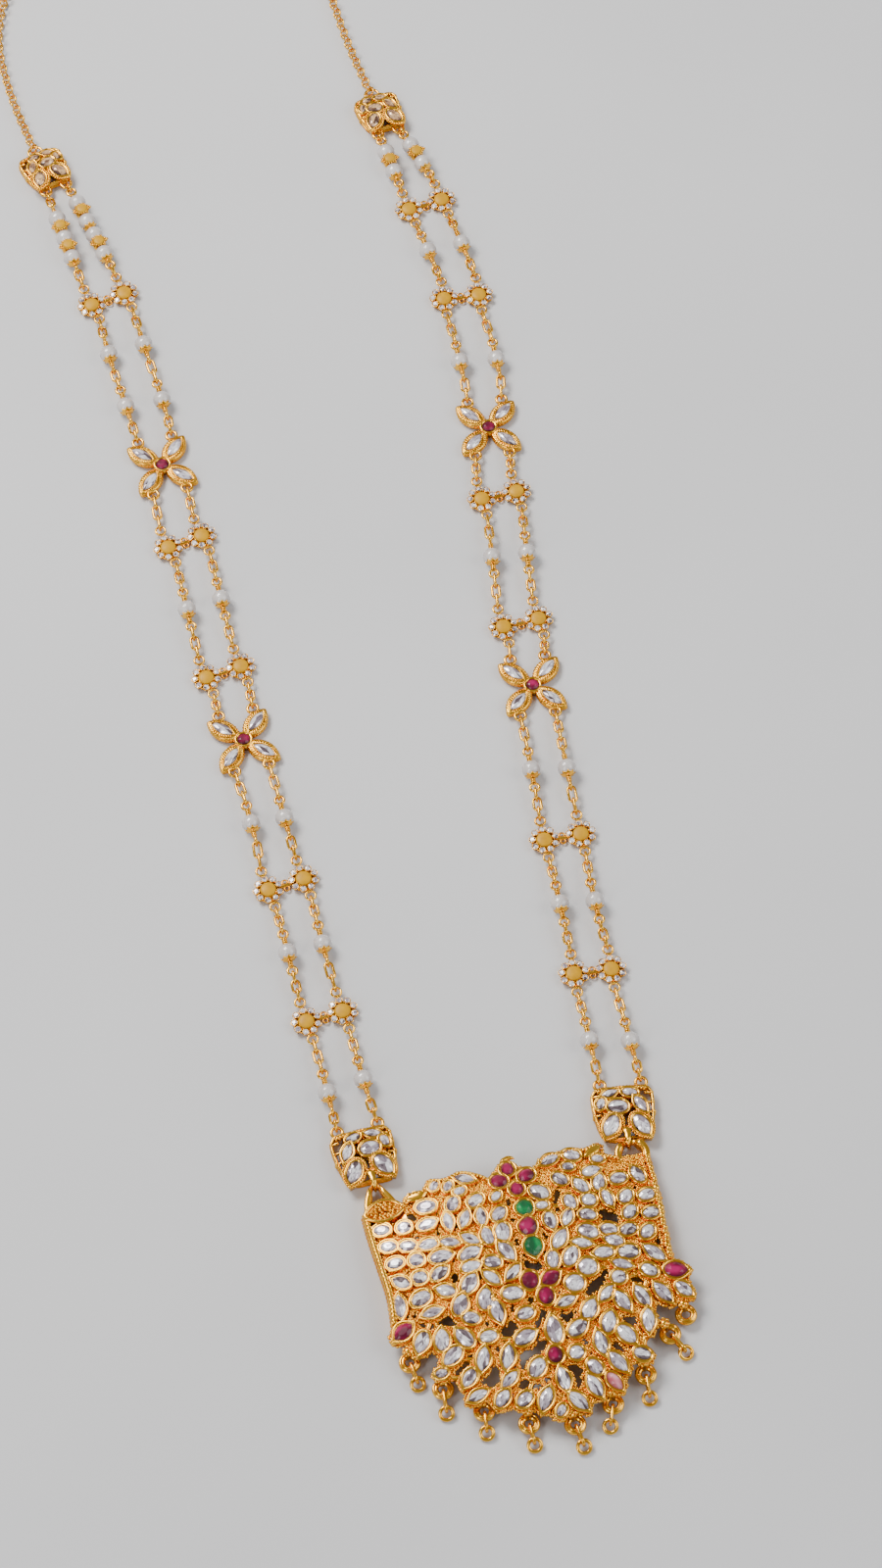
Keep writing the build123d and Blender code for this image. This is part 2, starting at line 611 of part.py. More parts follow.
def butterfly():
    """Four leaf petals with marquise pockets, a ruby cup and four eyes."""
    corners = [45, 135, 225, 315]
    middle = PETAL_REACH / math.sqrt(2)
    leaves = [Setting(middle * math.copysign(1, math.cos(math.radians(a))),
                      middle * math.copysign(1, math.sin(math.radians(a))), a, *PETAL, "", 0)
              for a in corners]
    heart = outline(*HEART, BEZEL)
    body = Part()
    for leaf in leaves:
        points = moved(outline(leaf.form, leaf.long, leaf.wide), leaf.x, leaf.y, leaf.turn)
        body += prism([Face(polygon(points))], 0.0, PETAL_TOP)
    body += prism([Face(polygon(heart))], 0.0, HEART_TOP)
    for leaf in leaves:
        face = Face(polygon(moved(outline(*PETAL_STONE), leaf.x, leaf.y, leaf.turn)))
        body -= prism([face], PETAL_TOP - POCKET, PETAL_TOP + 1.0)
    body -= prism([Face(polygon(outline(*HEART)))], HEART_TOP - POCKET, HEART_TOP + 1.0)
    for u in (-BUTTERFLY_EYE_U, BUTTERFLY_EYE_U):
        for v in (-BUTTERFLY_EYE_V, BUTTERFLY_EYE_V):
            inner = (u * 0.9, v * 0.66)
            outer = (u, v - math.copysign(EYELET, v))
            body += prism(bar(inner, outer, STEM_WIDTH).faces(), STEM_LOW, WING_STEM_TOP)
            body += Pos(u, v, EYE_LEVEL) * Torus(EYELET, WIRE)
    return body


# Strings of pearls and links

def walk(start, route, distance):
    """Point and heading along a side, its heading changing evenly over each leg."""
    x, y, heading = start
    left = distance
    for leg in route:
        run = min(left, leg.length)
        turned = heading + (leg.heading - heading) * run / leg.length
        middle = math.radians((heading + turned) / 2)
        x += run * math.sin(middle)
        y += run * math.cos(middle)
        heading = turned
        left -= run
        if left <= 0:
            break
    return x, y, heading


Spot = namedtuple("Spot", "station x y turn")


def spots(start, route, side):
    """Where each station's frame stands, with its turn about Z in degrees."""
    found = []
    for station in side:
        x, y, heading = walk(start, route, station.at)
        found.append(Spot(station, x, y, station.turn - heading))
    return found


def spot_location(spot):
    return Pos(spot.x, spot.y) * Rot(0, 0, spot.turn)


def local_point(spot, u, v, z):
    c = math.cos(math.radians(spot.turn))
    s = math.sin(math.radians(spot.turn))
    return Vector(spot.x + c * u - s * v, spot.y + s * u + c * v, z)


def bead_centres(count, spacers):
    """Middles of pearls and spacers along a pin, pearls at both ends."""
    pearls = []
    between = []
    place = 0.0
    for k in range(count):
        if k > 0:
            place += PEARL_RADIUS + BEAD_STEP_GAP
            if spacers[k - 1]:
                between.append(place + SPACER_LENGTH / 2)
                place += SPACER_LENGTH + BEAD_STEP_GAP
            place += PEARL_RADIUS
        pearls.append(place)
    middle = place / 2
    return [p - middle for p in pearls], [b - middle for b in between]


SPACED = {1: [], 2: [True], 3: [True, True], 4: [True, False, True]}


def string_beads(spot, half):
    """Centre of a string's beads at a station and how many there are."""
    count = spot.station.left if half < 0 else spot.station.right
    centre = local_point(spot, half * spot.station.gap / 2, 0, PEARL_LEVEL)
    return centre, count


def reach_of(count):
    pearls, _ = bead_centres(count, SPACED[count])
    room = CAP_ROOM if count == 1 else CAP_ROOM / 3
    return pearls[-1] + PEARL_RADIUS + room + PIN_LOOP


def anchors(spot, half):
    """The two ring centres of a soldered piece on one string, low end first."""
    kind = spot.station.kind
    u = half * spot.station.gap / 2
    if kind == "low":
        return [local_point(spot, half * LOW.eye_half, 0, EYE_LEVEL)] * 2
    if kind == "top":
        return [local_point(spot, half * TOP.eye_half, 0, EYE_LEVEL)] * 2
    if kind == "daisy":
        return [local_point(spot, u, v, EYE_LEVEL) for v in (-DAISY_EYE, DAISY_EYE)]
    if kind == "butterfly":
        u = half * BUTTERFLY_EYE_U
        return [local_point(spot, u, v, EYE_LEVEL) for v in (-BUTTERFLY_EYE_V, BUTTERFLY_EYE_V)]
    centre, _ = string_beads(spot, half)
    return [centre, centre]


def pin(centre, along, count, flats):
    """A wire through the beads with a loop at each end, flat or upright."""
    reach = reach_of(count)
    frame = Plane(origin=centre, x_dir=along, z_dir=(0, 0, 1)).location
    length = 2 * (reach - PIN_LOOP)
    body = frame * Rot(0, 90, 0) * Cylinder(PIN, length)
    for end, flat in zip((-1, 1), flats):
        loop = Torus(PIN_LOOP, WIRE)
        turn = Rot(0, 0, 0) if flat else Rot(90, 0, 0)
        body += frame * Pos(end * reach, 0, 0) * turn * loop
    return body


def link_plan(distance, fixed):
    """How many links span two loops' wires and how long they are; fixed loops both lie flat."""
    step = 2 * WIRE + LINK_GAP
    for count in (1, 2, 3, 4, 5):
        if fixed and count % 2 == 0:
            continue
        half = (distance + (count + 1) * step) / (2 * count)
        if half <= LONGEST_LINK:
            return count, half
    raise ValueError("loops too far apart")


def link_run(start, end, count, half, first_flat):
    """Interlocked links between two loops' wires, each turned a quarter from its neighbours."""
    along = (end - start).normalized()
    level = Vector(-along.Y, along.X, 0).normalized()
    step = 2 * WIRE + LINK_GAP
    width = min(LINK_HALF_WIDTH, half)
    place = half - step
    flat = not first_flat
    made = []
    for _ in range(count):
        out = along.cross(level) if flat else level
        made.append(Plane(origin=start + along * place, x_dir=along, z_dir=out).location
                    * link(half, width, WIRE))
        place += 2 * half - step
        flat = not flat
    return made


def string_pieces(side_spots, half):
    """Pearls, spacers, pins and links of one string."""
    pearls, spacers, wires = [], [], []
    ends = [anchors(spot, half) for spot in side_spots]
    along = {}
    centres = {}
    for i, spot in enumerate(side_spots):
        if spot.station.left:
            axis = ends[i + 1][0] - ends[i - 1][1]
            along[i] = Vector(axis.X, axis.Y, 0).normalized()
            centre, count = string_beads(spot, half)
            if spot.station.kind == "group":
                centre = (ends[i + 1][0] + ends[i - 1][1]) / 2
                centre.Z = PEARL_LEVEL
            centres[i] = centre
            reach = along[i] * reach_of(count)
            ends[i] = [centre - reach, centre + reach]
    flats = {i: [True, True] for i in range(len(side_spots))}
    for i in range(len(side_spots) - 1):
        way = ends[i + 1][0] - ends[i][1]
        way = Vector(way.X, way.Y, 0).normalized()
        start = ends[i][1] + (along[i] * PIN_LOOP if i in along else way * EYELET)
        end = ends[i + 1][0] - (along[i + 1] * PIN_LOOP if i + 1 in along else way * EYELET)
        fixed = i not in along and i + 1 not in along
        count, span = link_plan((end - start).length, fixed)
        if count % 2 == 0:
            if i + 1 in along:
                flats[i + 1][0] = False
            else:
                flats[i][1] = False
        wires += link_run(start, end, count, span, flats[i][1])
    for i, direction in along.items():
        centre = centres[i]
        _, count = string_beads(side_spots[i], half)
        wires.append(pin(centre, direction, count, flats[i]))
        balls, discs = bead_centres(count, SPACED[count])
        frame = Plane(origin=centre, x_dir=direction, z_dir=(0, 0, 1)).location
        for place in balls:
            hole = Rot(0, 90, 0) * Cylinder(DRILL, 3 * PEARL_RADIUS)
            pearls.append(frame * Pos(place, 0, 0) * (Sphere(PEARL_RADIUS) - hole))
        for place in discs:
            disc = Cylinder(SPACER_RADIUS, SPACER_LENGTH)
            disc = fillet(disc.edges(), SPACER_ROUND) - Cylinder(DRILL, 2 * SPACER_LENGTH)
            spacers.append(frame * Pos(place, 0, 0) * Rot(0, 90, 0) * disc)
    return pearls, spacers, wires


# Back chain and clasp

def chain_tube(points, name):
    """Straight runs joined by tangent arcs as large as the runs allow."""
    corners = [Vector(x, y, CHAIN_RADIUS) for x, y in points]
    radii = []
    for a, b, c in zip(corners, corners[1:], corners[2:]):
        turn = math.radians((b - a).get_angle(c - b))
        shorter = min((b - a).length, (c - b).length)
        radii.append(0.45 * shorter / math.tan(turn / 2))
    path = FilletPolyline(*corners, radius=radii)
    tube = wire_tube(path, CHAIN_RADIUS)
    section = math.pi * CHAIN_RADIUS ** 2
    print(name, "length", round(path.length, 1), "radii", [round(r) for r in radii],
          "volume over section times length", round(tube.volume / (section * path.length), 4))
    return tube


def clasp():
    return Pos(*CLASP, CHAIN_RADIUS) * Torus(CLASP_RADIUS, CLASP_WIRE)


def group(shapes):
    return Compound(children=[solid for shape in shapes for solid in shape.solids()])


def necklace():
    """Every node of the necklace by its name."""
    nodes = {}
    settings = pendant_settings()
    nodes["pendant_plate"] = pendant_plate(settings)
    fields = {"pendant_stones_left": [], "pendant_stones_right": []}
    for s in settings:
        if s.letter and s.letter in MAIN_CUTS:
            side = "left" if s.x < 0 else "right"
            stone = seat(PENDANT, s.x, s.y, s.turn) * cut_stone(s.form, s.long, s.wide)
            fields["pendant_stones_" + side].append(stone)
    for name, stones in fields.items():
        nodes[name] = group(stones)
    for gem in GEMS:
        place = seat(PENDANT, gem.x, gem.y, gem.turn)
        nodes[gem.name] = place * cut_stone(gem.form, gem.long, gem.wide)
    for k, drop in enumerate(DROPS, 1):
        nodes[f"drop_ring_{k}"] = drop_ring(drop)
    nodes["drop_links"] = group([drop_link(drop) for drop in DROPS])
    discs = []
    wing = butterfly()
    for name, start, route, side in (("left", LEFT_START, LEFT_ROUTE, LEFT_SIDE),
                                     ("right", RIGHT_START, RIGHT_ROUTE, RIGHT_SIDE)):
        side_spots = spots(start, route, side)
        counts = {"daisy": 0, "butterfly": 0}
        for spot in side_spots:
            place = spot_location(spot)
            kind = spot.station.kind
            if kind in counts:
                counts[kind] += 1
            if kind == "low":
                nodes["low_connector_" + name] = place * Pos(0, -LOW.eyes_v) * connector(LOW, name == "left")
            elif kind == "top":
                nodes["top_connector_" + name] = place * Pos(0, -TOP.eyes_v) * connector(TOP, name == "left")
            elif kind == "daisy":
                nodes[f"daisy_pair_{name}_{counts[kind]}"] = place * daisy_pair(spot.station.gap)
            elif kind == "butterfly":
                nodes[f"butterfly_{name}_{counts[kind]}"] = place * wing
        for half, hand in ((-1, "outer"), (1, "inner")):
            if name == "right":
                half = -half
            pearls, spacers, wires = string_pieces(side_spots, half)
            nodes[f"pearls_{name}_{hand}"] = group(pearls)
            nodes[f"links_{name}_{hand}"] = group(wires)
            discs += spacers
    nodes["spacers"] = group(discs)
    nodes["back_chain_left"] = chain_tube(LEFT_CHAIN, "back_chain_left")
    nodes["back_chain_right"] = chain_tube(RIGHT_CHAIN, "back_chain_right")
    nodes["clasp"] = clasp()
    return nodes


def main():
    os.makedirs("parts", exist_ok=True)
    nodes = necklace()
    centre = Pos(-CENTRE_X, -CENTRE_Y, 0)
    whole = Compound(children=[centre * shape for shape in nodes.values()])
    box = whole.bounding_box()
    print("nodes", len(nodes), "solids", len(whole.solids()))
    print("box", box.min, box.max)
    for name, shape in nodes.items():
        export_step(centre * shape, f"parts/{name}.step")


if __name__ == "__main__":
    main()
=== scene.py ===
import math
import random
from collections import namedtuple

import bmesh
import bpy
import numpy as np
from mathutils import Matrix, Vector


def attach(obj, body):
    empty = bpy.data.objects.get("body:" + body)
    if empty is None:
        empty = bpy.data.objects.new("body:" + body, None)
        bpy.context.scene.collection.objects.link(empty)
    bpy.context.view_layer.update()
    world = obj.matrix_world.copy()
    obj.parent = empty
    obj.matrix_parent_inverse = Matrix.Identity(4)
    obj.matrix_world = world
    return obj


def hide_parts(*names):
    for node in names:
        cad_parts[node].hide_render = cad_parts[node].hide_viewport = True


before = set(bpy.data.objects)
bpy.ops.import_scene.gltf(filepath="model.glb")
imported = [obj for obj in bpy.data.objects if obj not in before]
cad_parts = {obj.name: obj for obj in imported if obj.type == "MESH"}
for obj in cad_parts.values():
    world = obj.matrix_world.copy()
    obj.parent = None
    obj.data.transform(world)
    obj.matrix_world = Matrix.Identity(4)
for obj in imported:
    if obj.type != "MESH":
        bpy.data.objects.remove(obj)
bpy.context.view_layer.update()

random.seed(7)

# Lengths below are millimetres in the pendant's frame; SHIFT moves them to the part's frame
MM = 0.001
SHIFT = np.array((3.0, -168.9, 0.0))


# Camera, light and floor

def look_at(thing, place, target):
    thing.location = Vector(place)
    way = Vector(target) - Vector(place)
    thing.rotation_mode = "QUATERNION"
    thing.rotation_quaternion = way.to_track_quat("-Z", "Y")


def make_camera():
    data = bpy.data.cameras.new("camera")
    data.lens = 118.19
    data.sensor_width = 36.0
    data.clip_start, data.clip_end = 0.05, 10.0
    camera = bpy.data.objects.new("camera", data)
    bpy.context.scene.collection.objects.link(camera)
    look_at(camera, (-0.11251, -0.58552, 0.95263), (0.00934, -0.04919, 0.0))
    bpy.context.scene.camera = camera


def area_light(name, place, target, size, power, colour):
    data = bpy.data.lights.new(name, "AREA")
    data.shape = "RECTANGLE"
    data.size, data.size_y = size
    data.energy = power
    data.color = colour
    light = bpy.data.objects.new(name, data)
    bpy.context.scene.collection.objects.link(light)
    look_at(light, place, target)


make_camera()
area_light("key", (-0.35, 0.45, 0.75), (0.0, 0.0, 0.0), (0.5, 0.35), 12.0, (1.0, 0.98, 0.95))
area_light("fill", (0.7, -0.3, 0.6), (0.0, 0.0, 0.0), (0.6, 0.6), 4.0, (1.0, 1.0, 1.0))
area_light("strip", (-0.6, -0.5, 0.5), (0.0, -0.1, 0.0), (0.12, 0.8), 3.0, (1.0, 1.0, 1.0))


# Materials

def new_material(name):
    material = bpy.data.materials.new(name)
    material.use_nodes = True
    nodes, links = material.node_tree.nodes, material.node_tree.links
    return material, nodes, links, nodes["Principled BSDF"]


def dial(node, values):
    """Fixed values on a node's own sockets."""
    for name, value in values.items():
        node.inputs[name].default_value = value


def spot_noise(nodes, links, scale, detail=2.0, kind="ShaderNodeTexNoise"):
    place = nodes.new("ShaderNodeTexCoord")
    texture = nodes.new(kind)
    texture.inputs["Scale"].default_value = scale
    if "Detail" in texture.inputs:
        texture.inputs["Detail"].default_value = detail
    links.new(place.outputs["Object"], texture.inputs["Vector"])
    return texture


def ramp(nodes, links, source, stops):
    band = nodes.new("ShaderNodeValToRGB")
    band.color_ramp.elements[0].position, band.color_ramp.elements[0].color = stops[0]
    band.color_ramp.elements[1].position, band.color_ramp.elements[1].color = stops[-1]
    for place, colour in stops[1:-1]:
        band.color_ramp.elements.new(place).color = colour
    links.new(source, band.inputs["Fac"])
    return band.outputs["Color"]


def spread(nodes, links, source, low, high):
    span = nodes.new("ShaderNodeMapRange")
    dial(span, {"To Min": low, "To Max": high})
    links.new(source, span.inputs["Value"])
    return span.outputs["Result"]


def bumped(nodes, links, shader, source, strength, distance):
    bump = nodes.new("ShaderNodeBump")
    dial(bump, {"Strength": strength, "Distance": distance})
    links.new(source, bump.inputs["Height"])
    links.new(bump.outputs["Normal"], shader.inputs["Normal"])


def blend(nodes, links, share, low, high):
    mix = nodes.new("ShaderNodeMix")
    mix.data_type = "RGBA"
    links.new(share, mix.inputs["Factor"])
    for value, socket in ((low, mix.inputs["A"]), (high, mix.inputs["B"])):
        if isinstance(value, tuple):
            socket.default_value = value
        else:
            links.new(value, socket)
    return mix.outputs["Result"]


def gold_material(name, deep, light, rough_low, rough_high, grain):
    """Gold plate, its tone drifting at random, with painted shade turning it orange-brown where the metal is
    enclosed.
    """
    material, nodes, links, shader = new_material(name)
    drift = spot_noise(nodes, links, 420.0, 3.0)
    tone = ramp(nodes, links, drift.outputs["Fac"], [(0.3, deep), (0.7, light)])
    # painted shade: ambient occlusion turns enclosed metal orange-brown
    shade = nodes.new("ShaderNodeAmbientOcclusion")
    shade.inputs["Distance"].default_value = 0.0016
    shade.samples = 6
    painted_hollow_shade = ramp(nodes, links, shade.outputs["AO"], [(0.2, (1, 1, 1, 1)), (0.7, (0, 0, 0, 1))])
    colour = blend(nodes, links, painted_hollow_shade, tone, (0.72, 0.3, 0.012, 1))
    links.new(colour, shader.inputs["Base Color"])
    shader.inputs["Metallic"].default_value = 1.0
    fine = spot_noise(nodes, links, grain, 4.0)
    links.new(spread(nodes, links, fine.outputs["Fac"], rough_low, rough_high), shader.inputs["Roughness"])
    bumped(nodes, links, shader, fine.outputs["Fac"], 0.25, 0.00006)
    return material


def stone_place(nodes, links, along, across):
    """Each stone's own coordinates, from the mesh: along, across, and a number of its own."""
    own = nodes.new("ShaderNodeAttribute")
    own.attribute_name = "cut"
    parts = nodes.new("ShaderNodeSeparateXYZ")
    links.new(own.outputs["Vector"], parts.inputs["Vector"])
    place = nodes.new("ShaderNodeVectorMath")
    place.operation = "MULTIPLY"
    place.inputs[1].default_value = (along, across, 41.0)
    links.new(own.outputs["Vector"], place.inputs[0])
    flat = nodes.new("ShaderNodeCombineXYZ")
    links.new(parts.outputs["X"], flat.inputs["X"])
    links.new(parts.outputs["Y"], flat.inputs["Y"])
    reach = nodes.new("ShaderNodeVectorMath")
    reach.operation = "LENGTH"
    links.new(flat.outputs["Vector"], reach.inputs[0])
    return place.outputs["Vector"], reach.outputs["Value"]


def white_stone_material(name, tint):
    """Foil-backed clear stone with painted light: painted reflections make its facets white, lilac-grey and
    dark, and painted shade darkens its rim, so it is bright in the middle.
    """
    material, nodes, links, shader = new_material(name)
    place, reach = stone_place(nodes, links, 1.1, 1.5)
    cells = nodes.new("ShaderNodeTexVoronoi")
    cells.inputs["Scale"].default_value = 1.0
    links.new(place, cells.inputs["Vector"])
    tone = nodes.new("ShaderNodeSeparateColor")
    links.new(cells.outputs["Color"], tone.inputs["Color"])
    # painted reflections: each facet cell is painted white, lilac-grey or dark
    facets = ramp(nodes, links, tone.outputs["Red"],
                  [(0.05, (0.13, 0.09, 0.1, 1)), (0.22, (0.4, 0.33, 0.38, 1)),
                   (0.45, (0.7, 0.64, 0.71, 1)), (0.66, (1.0, 0.98, 1.0, 1))])
    streaks = nodes.new("ShaderNodeTexNoise")
    dial(streaks, {"Scale": 2.6, "Detail": 3.0})
    links.new(place, streaks.inputs["Vector"])
    # painted reflection: dark streaks across the stone
    painted_reflection_streaks = ramp(nodes, links, streaks.outputs["Fac"],
                 [(0.36, (0.3, 0.25, 0.27, 1)), (0.48, (1.0, 1.0, 1.0, 1))])
    # painted shade: the stone darkens towards its rim, keeping its own tint in the middle
    edge = ramp(nodes, links, reach, [(0.72, tint), (0.98, (0.42, 0.3, 0.24, 1))])
    inner = multiply(nodes, links, facets, painted_reflection_streaks, 0.85)
    links.new(multiply(nodes, links, inner, edge, 1.0), shader.inputs["Base Color"])
    dial(shader, {"Metallic": 0.3, "Roughness": 0.12, "Coat Weight": 1.0, "Coat Roughness": 0.03})
    bumped(nodes, links, shader, tone.outputs["Green"], 0.5, 0.00012)
    return material


def multiply(nodes, links, first, second, share):
    mix = nodes.new("ShaderNodeMix")
    mix.data_type = "RGBA"
    mix.blend_type = "MULTIPLY"
    mix.inputs["Factor"].default_value = share
    links.new(first, mix.inputs["A"])
    links.new(second, mix.inputs["B"])
    return mix.outputs["Result"]


def coloured_stone_material(name, dark, middle, light):
    """Deep glassy stone whose soft facets are painted lighter and darker as reflections, with painted shade
    at its edge.
    """
    material, nodes, links, shader = new_material(name)
    place, reach = stone_place(nodes, links, 0.9, 1.1)
    cells = nodes.new("ShaderNodeTexVoronoi")
    cells.feature = "SMOOTH_F1"
    cells.inputs["Scale"].default_value = 1.0
    links.new(place, cells.inputs["Vector"])
    tone = nodes.new("ShaderNodeSeparateColor")
    links.new(cells.outputs["Color"], tone.inputs["Color"])
    # painted reflections: each facet cell is painted darker or lighter than the stone's own colour
    facets = ramp(nodes, links, tone.outputs["Red"], [(0.15, dark), (0.5, middle), (0.85, light)])
    # painted shade: the stone darkens towards its edge
    edge = ramp(nodes, links, reach, [(0.7, (1.0, 1.0, 1.0, 1)), (0.98, (0.45, 0.4, 0.4, 1))])
    links.new(multiply(nodes, links, facets, edge, 1.0), shader.inputs["Base Color"])
    dial(shader, {"Roughness": 0.3, "Specular IOR Level": 0.3, "Coat Weight": 0.25,
                  "Coat Roughness": 0.1})
    bumped(nodes, links, shader, tone.outputs["Green"], 0.3, 0.0001)
    return material


def pearl_material():
    material, nodes, links, shader = new_material("pearl")
    cloud = spot_noise(nodes, links, 500.0, 3.0)
    tone = ramp(nodes, links, cloud.outputs["Fac"],
                [(0.3, (0.58, 0.53, 0.5, 1)), (0.7, (0.7, 0.66, 0.63, 1))])
    # painted shade: the pearl turns darker where its surface turns away from the camera
    facing = nodes.new("ShaderNodeLayerWeight")
    facing.inputs["Blend"].default_value = 0.35
    colour = blend(nodes, links, facing.outputs["Facing"], tone, (0.36, 0.31, 0.3, 1))
    links.new(colour, shader.inputs["Base Color"])
    dial(shader, {"Roughness": 0.28, "Subsurface Weight": 0.15,
                  "Subsurface Radius": (0.0006, 0.0005, 0.0005), "Subsurface Scale": 1.0,
                  "Coat Weight": 1.0, "Coat Roughness": 0.1})
    bumped(nodes, links, shader, cloud.outputs["Fac"], 0.06, 0.0001)
    return material


def enamel_material():
    material, nodes, links, shader = new_material("enamel")
    cloud = spot_noise(nodes, links, 700.0, 3.0)
    tone = ramp(nodes, links, cloud.outputs["Fac"],
                [(0.3, (0.52, 0.25, 0.0, 1)), (0.7, (0.64, 0.33, 0.0, 1))])
    links.new(tone, shader.inputs["Base Color"])
    fine = spot_noise(nodes, links, 3500.0, 2.0)
    links.new(spread(nodes, links, fine.outputs["Fac"], 0.35, 0.55), shader.inputs["Roughness"])
    dial(shader, {"Specular IOR Level": 0.25, "Coat Weight": 0.05, "Coat Roughness": 0.3})
    bumped(nodes, links, shader, fine.outputs["Fac"], 0.12, 0.00005)
    return material


def floor_material():
    material, nodes, links, shader = new_material("floor")
    cloud = spot_noise(nodes, links, 9.0, 2.0)
    tone = ramp(nodes, links, cloud.outputs["Fac"],
                [(0.3, (0.6, 0.6, 0.61, 1)), (0.7, (0.64, 0.64, 0.65, 1))])
    links.new(tone, shader.inputs["Base Color"])
    shader.inputs["Roughness"].default_value = 0.8
    return material


GOLD = gold_material("gold", (0.86, 0.4, 0.022, 1), (1.0, 0.56, 0.06, 1), 0.12, 0.3, 2600.0)
# a darker, more orange copy of the gold, put on lower and inner parts as painted shade
SHADED_GOLD = gold_material("deep_gold", (0.78, 0.28, 0.01, 1), (0.94, 0.42, 0.025, 1), 0.2, 0.4, 3200.0)
WHITE = white_stone_material("white_stone", (1.0, 1.0, 1.0, 1))
CHAMPAGNE = white_stone_material("champagne_stone", (0.95, 0.62, 0.3, 1))
# each coloured stone: its own colour in the middle, with darker and lighter colours for painted facet shade
# and reflections
RUBY = coloured_stone_material("ruby", (0.1, 0.0, 0.018, 1), (0.24, 0.0, 0.045, 1), (0.4, 0.006, 0.1, 1))
EMERALD = coloured_stone_material("emerald", (0.0, 0.07, 0.018, 1), (0.0, 0.15, 0.035, 1),
                                  (0.01, 0.26, 0.07, 1))
PINK = coloured_stone_material("pink_stone", (0.42, 0.08, 0.1, 1), (0.62, 0.2, 0.24, 1), (0.8, 0.4, 0.45, 1))
PEARL = pearl_material()
ENAMEL = enamel_material()


# Mesh pieces

class Piece:
    """Faces of one object, gathered in millimetres, each with its material."""

    def __init__(self, name):
        self.name = name
        self.verts = []
        self.faces = []
        self.marks = []
        self.smooth = []
        self.materials = []
        self.cuts = []
        self.count = 0

    def add(self, shape, material, place=None, smooth=True):
        verts, faces = shape
        verts = np.asarray(verts, float)
        self.cuts.append(np.zeros((len(verts), 3)))
        if place is not None:
            grid = np.array(place)
            verts = verts @ grid[:3, :3].T + grid[:3, 3]
        if material not in self.materials:
            self.materials.append(material)
        mark = self.materials.index(material)
        self.verts.append(verts)
        self.faces += [tuple(i + self.count for i in face) for face in faces]
        self.marks += [mark] * len(faces)
        self.smooth += [smooth] * len(faces)
        self.count += len(verts)

    def add_stone(self, form, long, wide, material, place, rise=0.55):
        """A cut stone, each vertex marked with its place in the stone."""
        self.add(cut_stone(form, long, wide, rise), material, place, smooth=False)
        local = np.array(cut_stone(form, long, wide, rise)[0])
        self.cuts[-1] = np.stack([local[:, 0] * 2 / long, local[:, 1] * 2 / wide,
                                  np.full(len(local), random.random())], 1)

    def make(self, slot, *replaced):
        mesh = bpy.data.meshes.new(self.name)
        points = (np.concatenate(self.verts) + SHIFT) * MM
        mesh.from_pydata(points.tolist(), [], self.faces)
        for material in self.materials:
            mesh.materials.append(material)
        mesh.polygons.foreach_set("material_index", self.marks)
        mesh.polygons.foreach_set("use_smooth", self.smooth)
        marks = np.concatenate(self.cuts)
        if marks.any():
            own = mesh.attributes.new("cut", "FLOAT_VECTOR", "POINT")
            own.data.foreach_set("vector", marks.astype(np.float32).ravel())
        mesh.update()
        thing = bpy.data.objects.new(self.name, mesh)
        bpy.context.scene.collection.objects.link(thing)
        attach(thing, "root")
        if replaced:
            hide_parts(*replaced)
        triangles = sum(len(face) - 2 for face in self.faces)
        print("piece", self.name, "triangles", triangles)
        return thing


def loft(rings, close=False, cap_low=False, cap_high=False):
    """Quads between rings of the same number of points."""
    n = len(rings[0])
    verts = np.concatenate([np.asarray(r, float) for r in rings])
    faces = []
    last = len(rings) if close else len(rings) - 1
    for i in range(last):
        a, b = i * n, ((i + 1) % len(rings)) * n
        for k in range(n):
            m = (k + 1) % n
            faces.append((a + k, a + m, b + m, b + k))
    if cap_low:
        faces.append(tuple(reversed(range(n))))
    if cap_high:
        faces.append(tuple(range((len(rings) - 1) * n, len(rings) * n)))
    return verts, faces


def circle(radius, z, count):
    angles = np.arange(count) * 2.0 * math.pi / count
    return np.stack([radius * np.cos(angles), radius * np.sin(angles), np.full(count, z)], 1)


def turns(count, start=0.0):
    """Angles of evenly spread places round a circle."""
    return [2.0 * math.pi * k / count + start for k in range(count)]


def lathe(profile, count, close=False):
    """A turned shape from (radius, z) rows, upwards outside; ends are capped unless closed."""
    rings = [circle(r, z, count) for r, z in profile]
    return loft(rings, close=close, cap_low=not close, cap_high=not close)


def tube(path, radius, sides=8, closed=False, up=(0.0, 0.0, 1.0)):
    """A round wire along a path, its radius one number or one a point, with rounded ends."""
    path = np.asarray(path, float)
    radii = np.full(len(path), float(radius)) if np.isscalar(radius) else np.asarray(radius, float)
    if closed:
        tangents = np.roll(path, -1, 0) - np.roll(path, 1, 0)
    else:
        tangents = np.gradient(path, axis=0)
    tangents /= np.linalg.norm(tangents, axis=1)[:, None]
    if not closed:
        first, last = tangents[0], tangents[-1]
        steps = ((0.5, 0.87), (0.87, 0.5))
        heads = [path[0] - first * radii[0] * s for s, _ in reversed(steps)]
        tails = [path[-1] + last * radii[-1] * s for s, _ in steps]
        path = np.concatenate([heads, path, tails])
        radii = np.concatenate([[radii[0] * t for _, t in reversed(steps)], radii,
                                [radii[-1] * t for _, t in steps]])
        tangents = np.concatenate([[first] * 2, tangents, [last] * 2])
    side = np.array(up, float)
    rings = []
    angles = np.arange(sides) * 2.0 * math.pi / sides
    for point, along, r in zip(path, tangents, radii):
        side = side - along * side.dot(along)
        side /= np.linalg.norm(side)
        other = np.cross(along, side)
        rings.append(point + r * (np.cos(angles)[:, None] * side + np.sin(angles)[:, None] * other))
    return loft(rings, close=closed, cap_low=not closed, cap_high=not closed)


def torus(radius, wire, count=20, sides=8):
    return tube(circle(radius, 0.0, count), wire, sides, True)


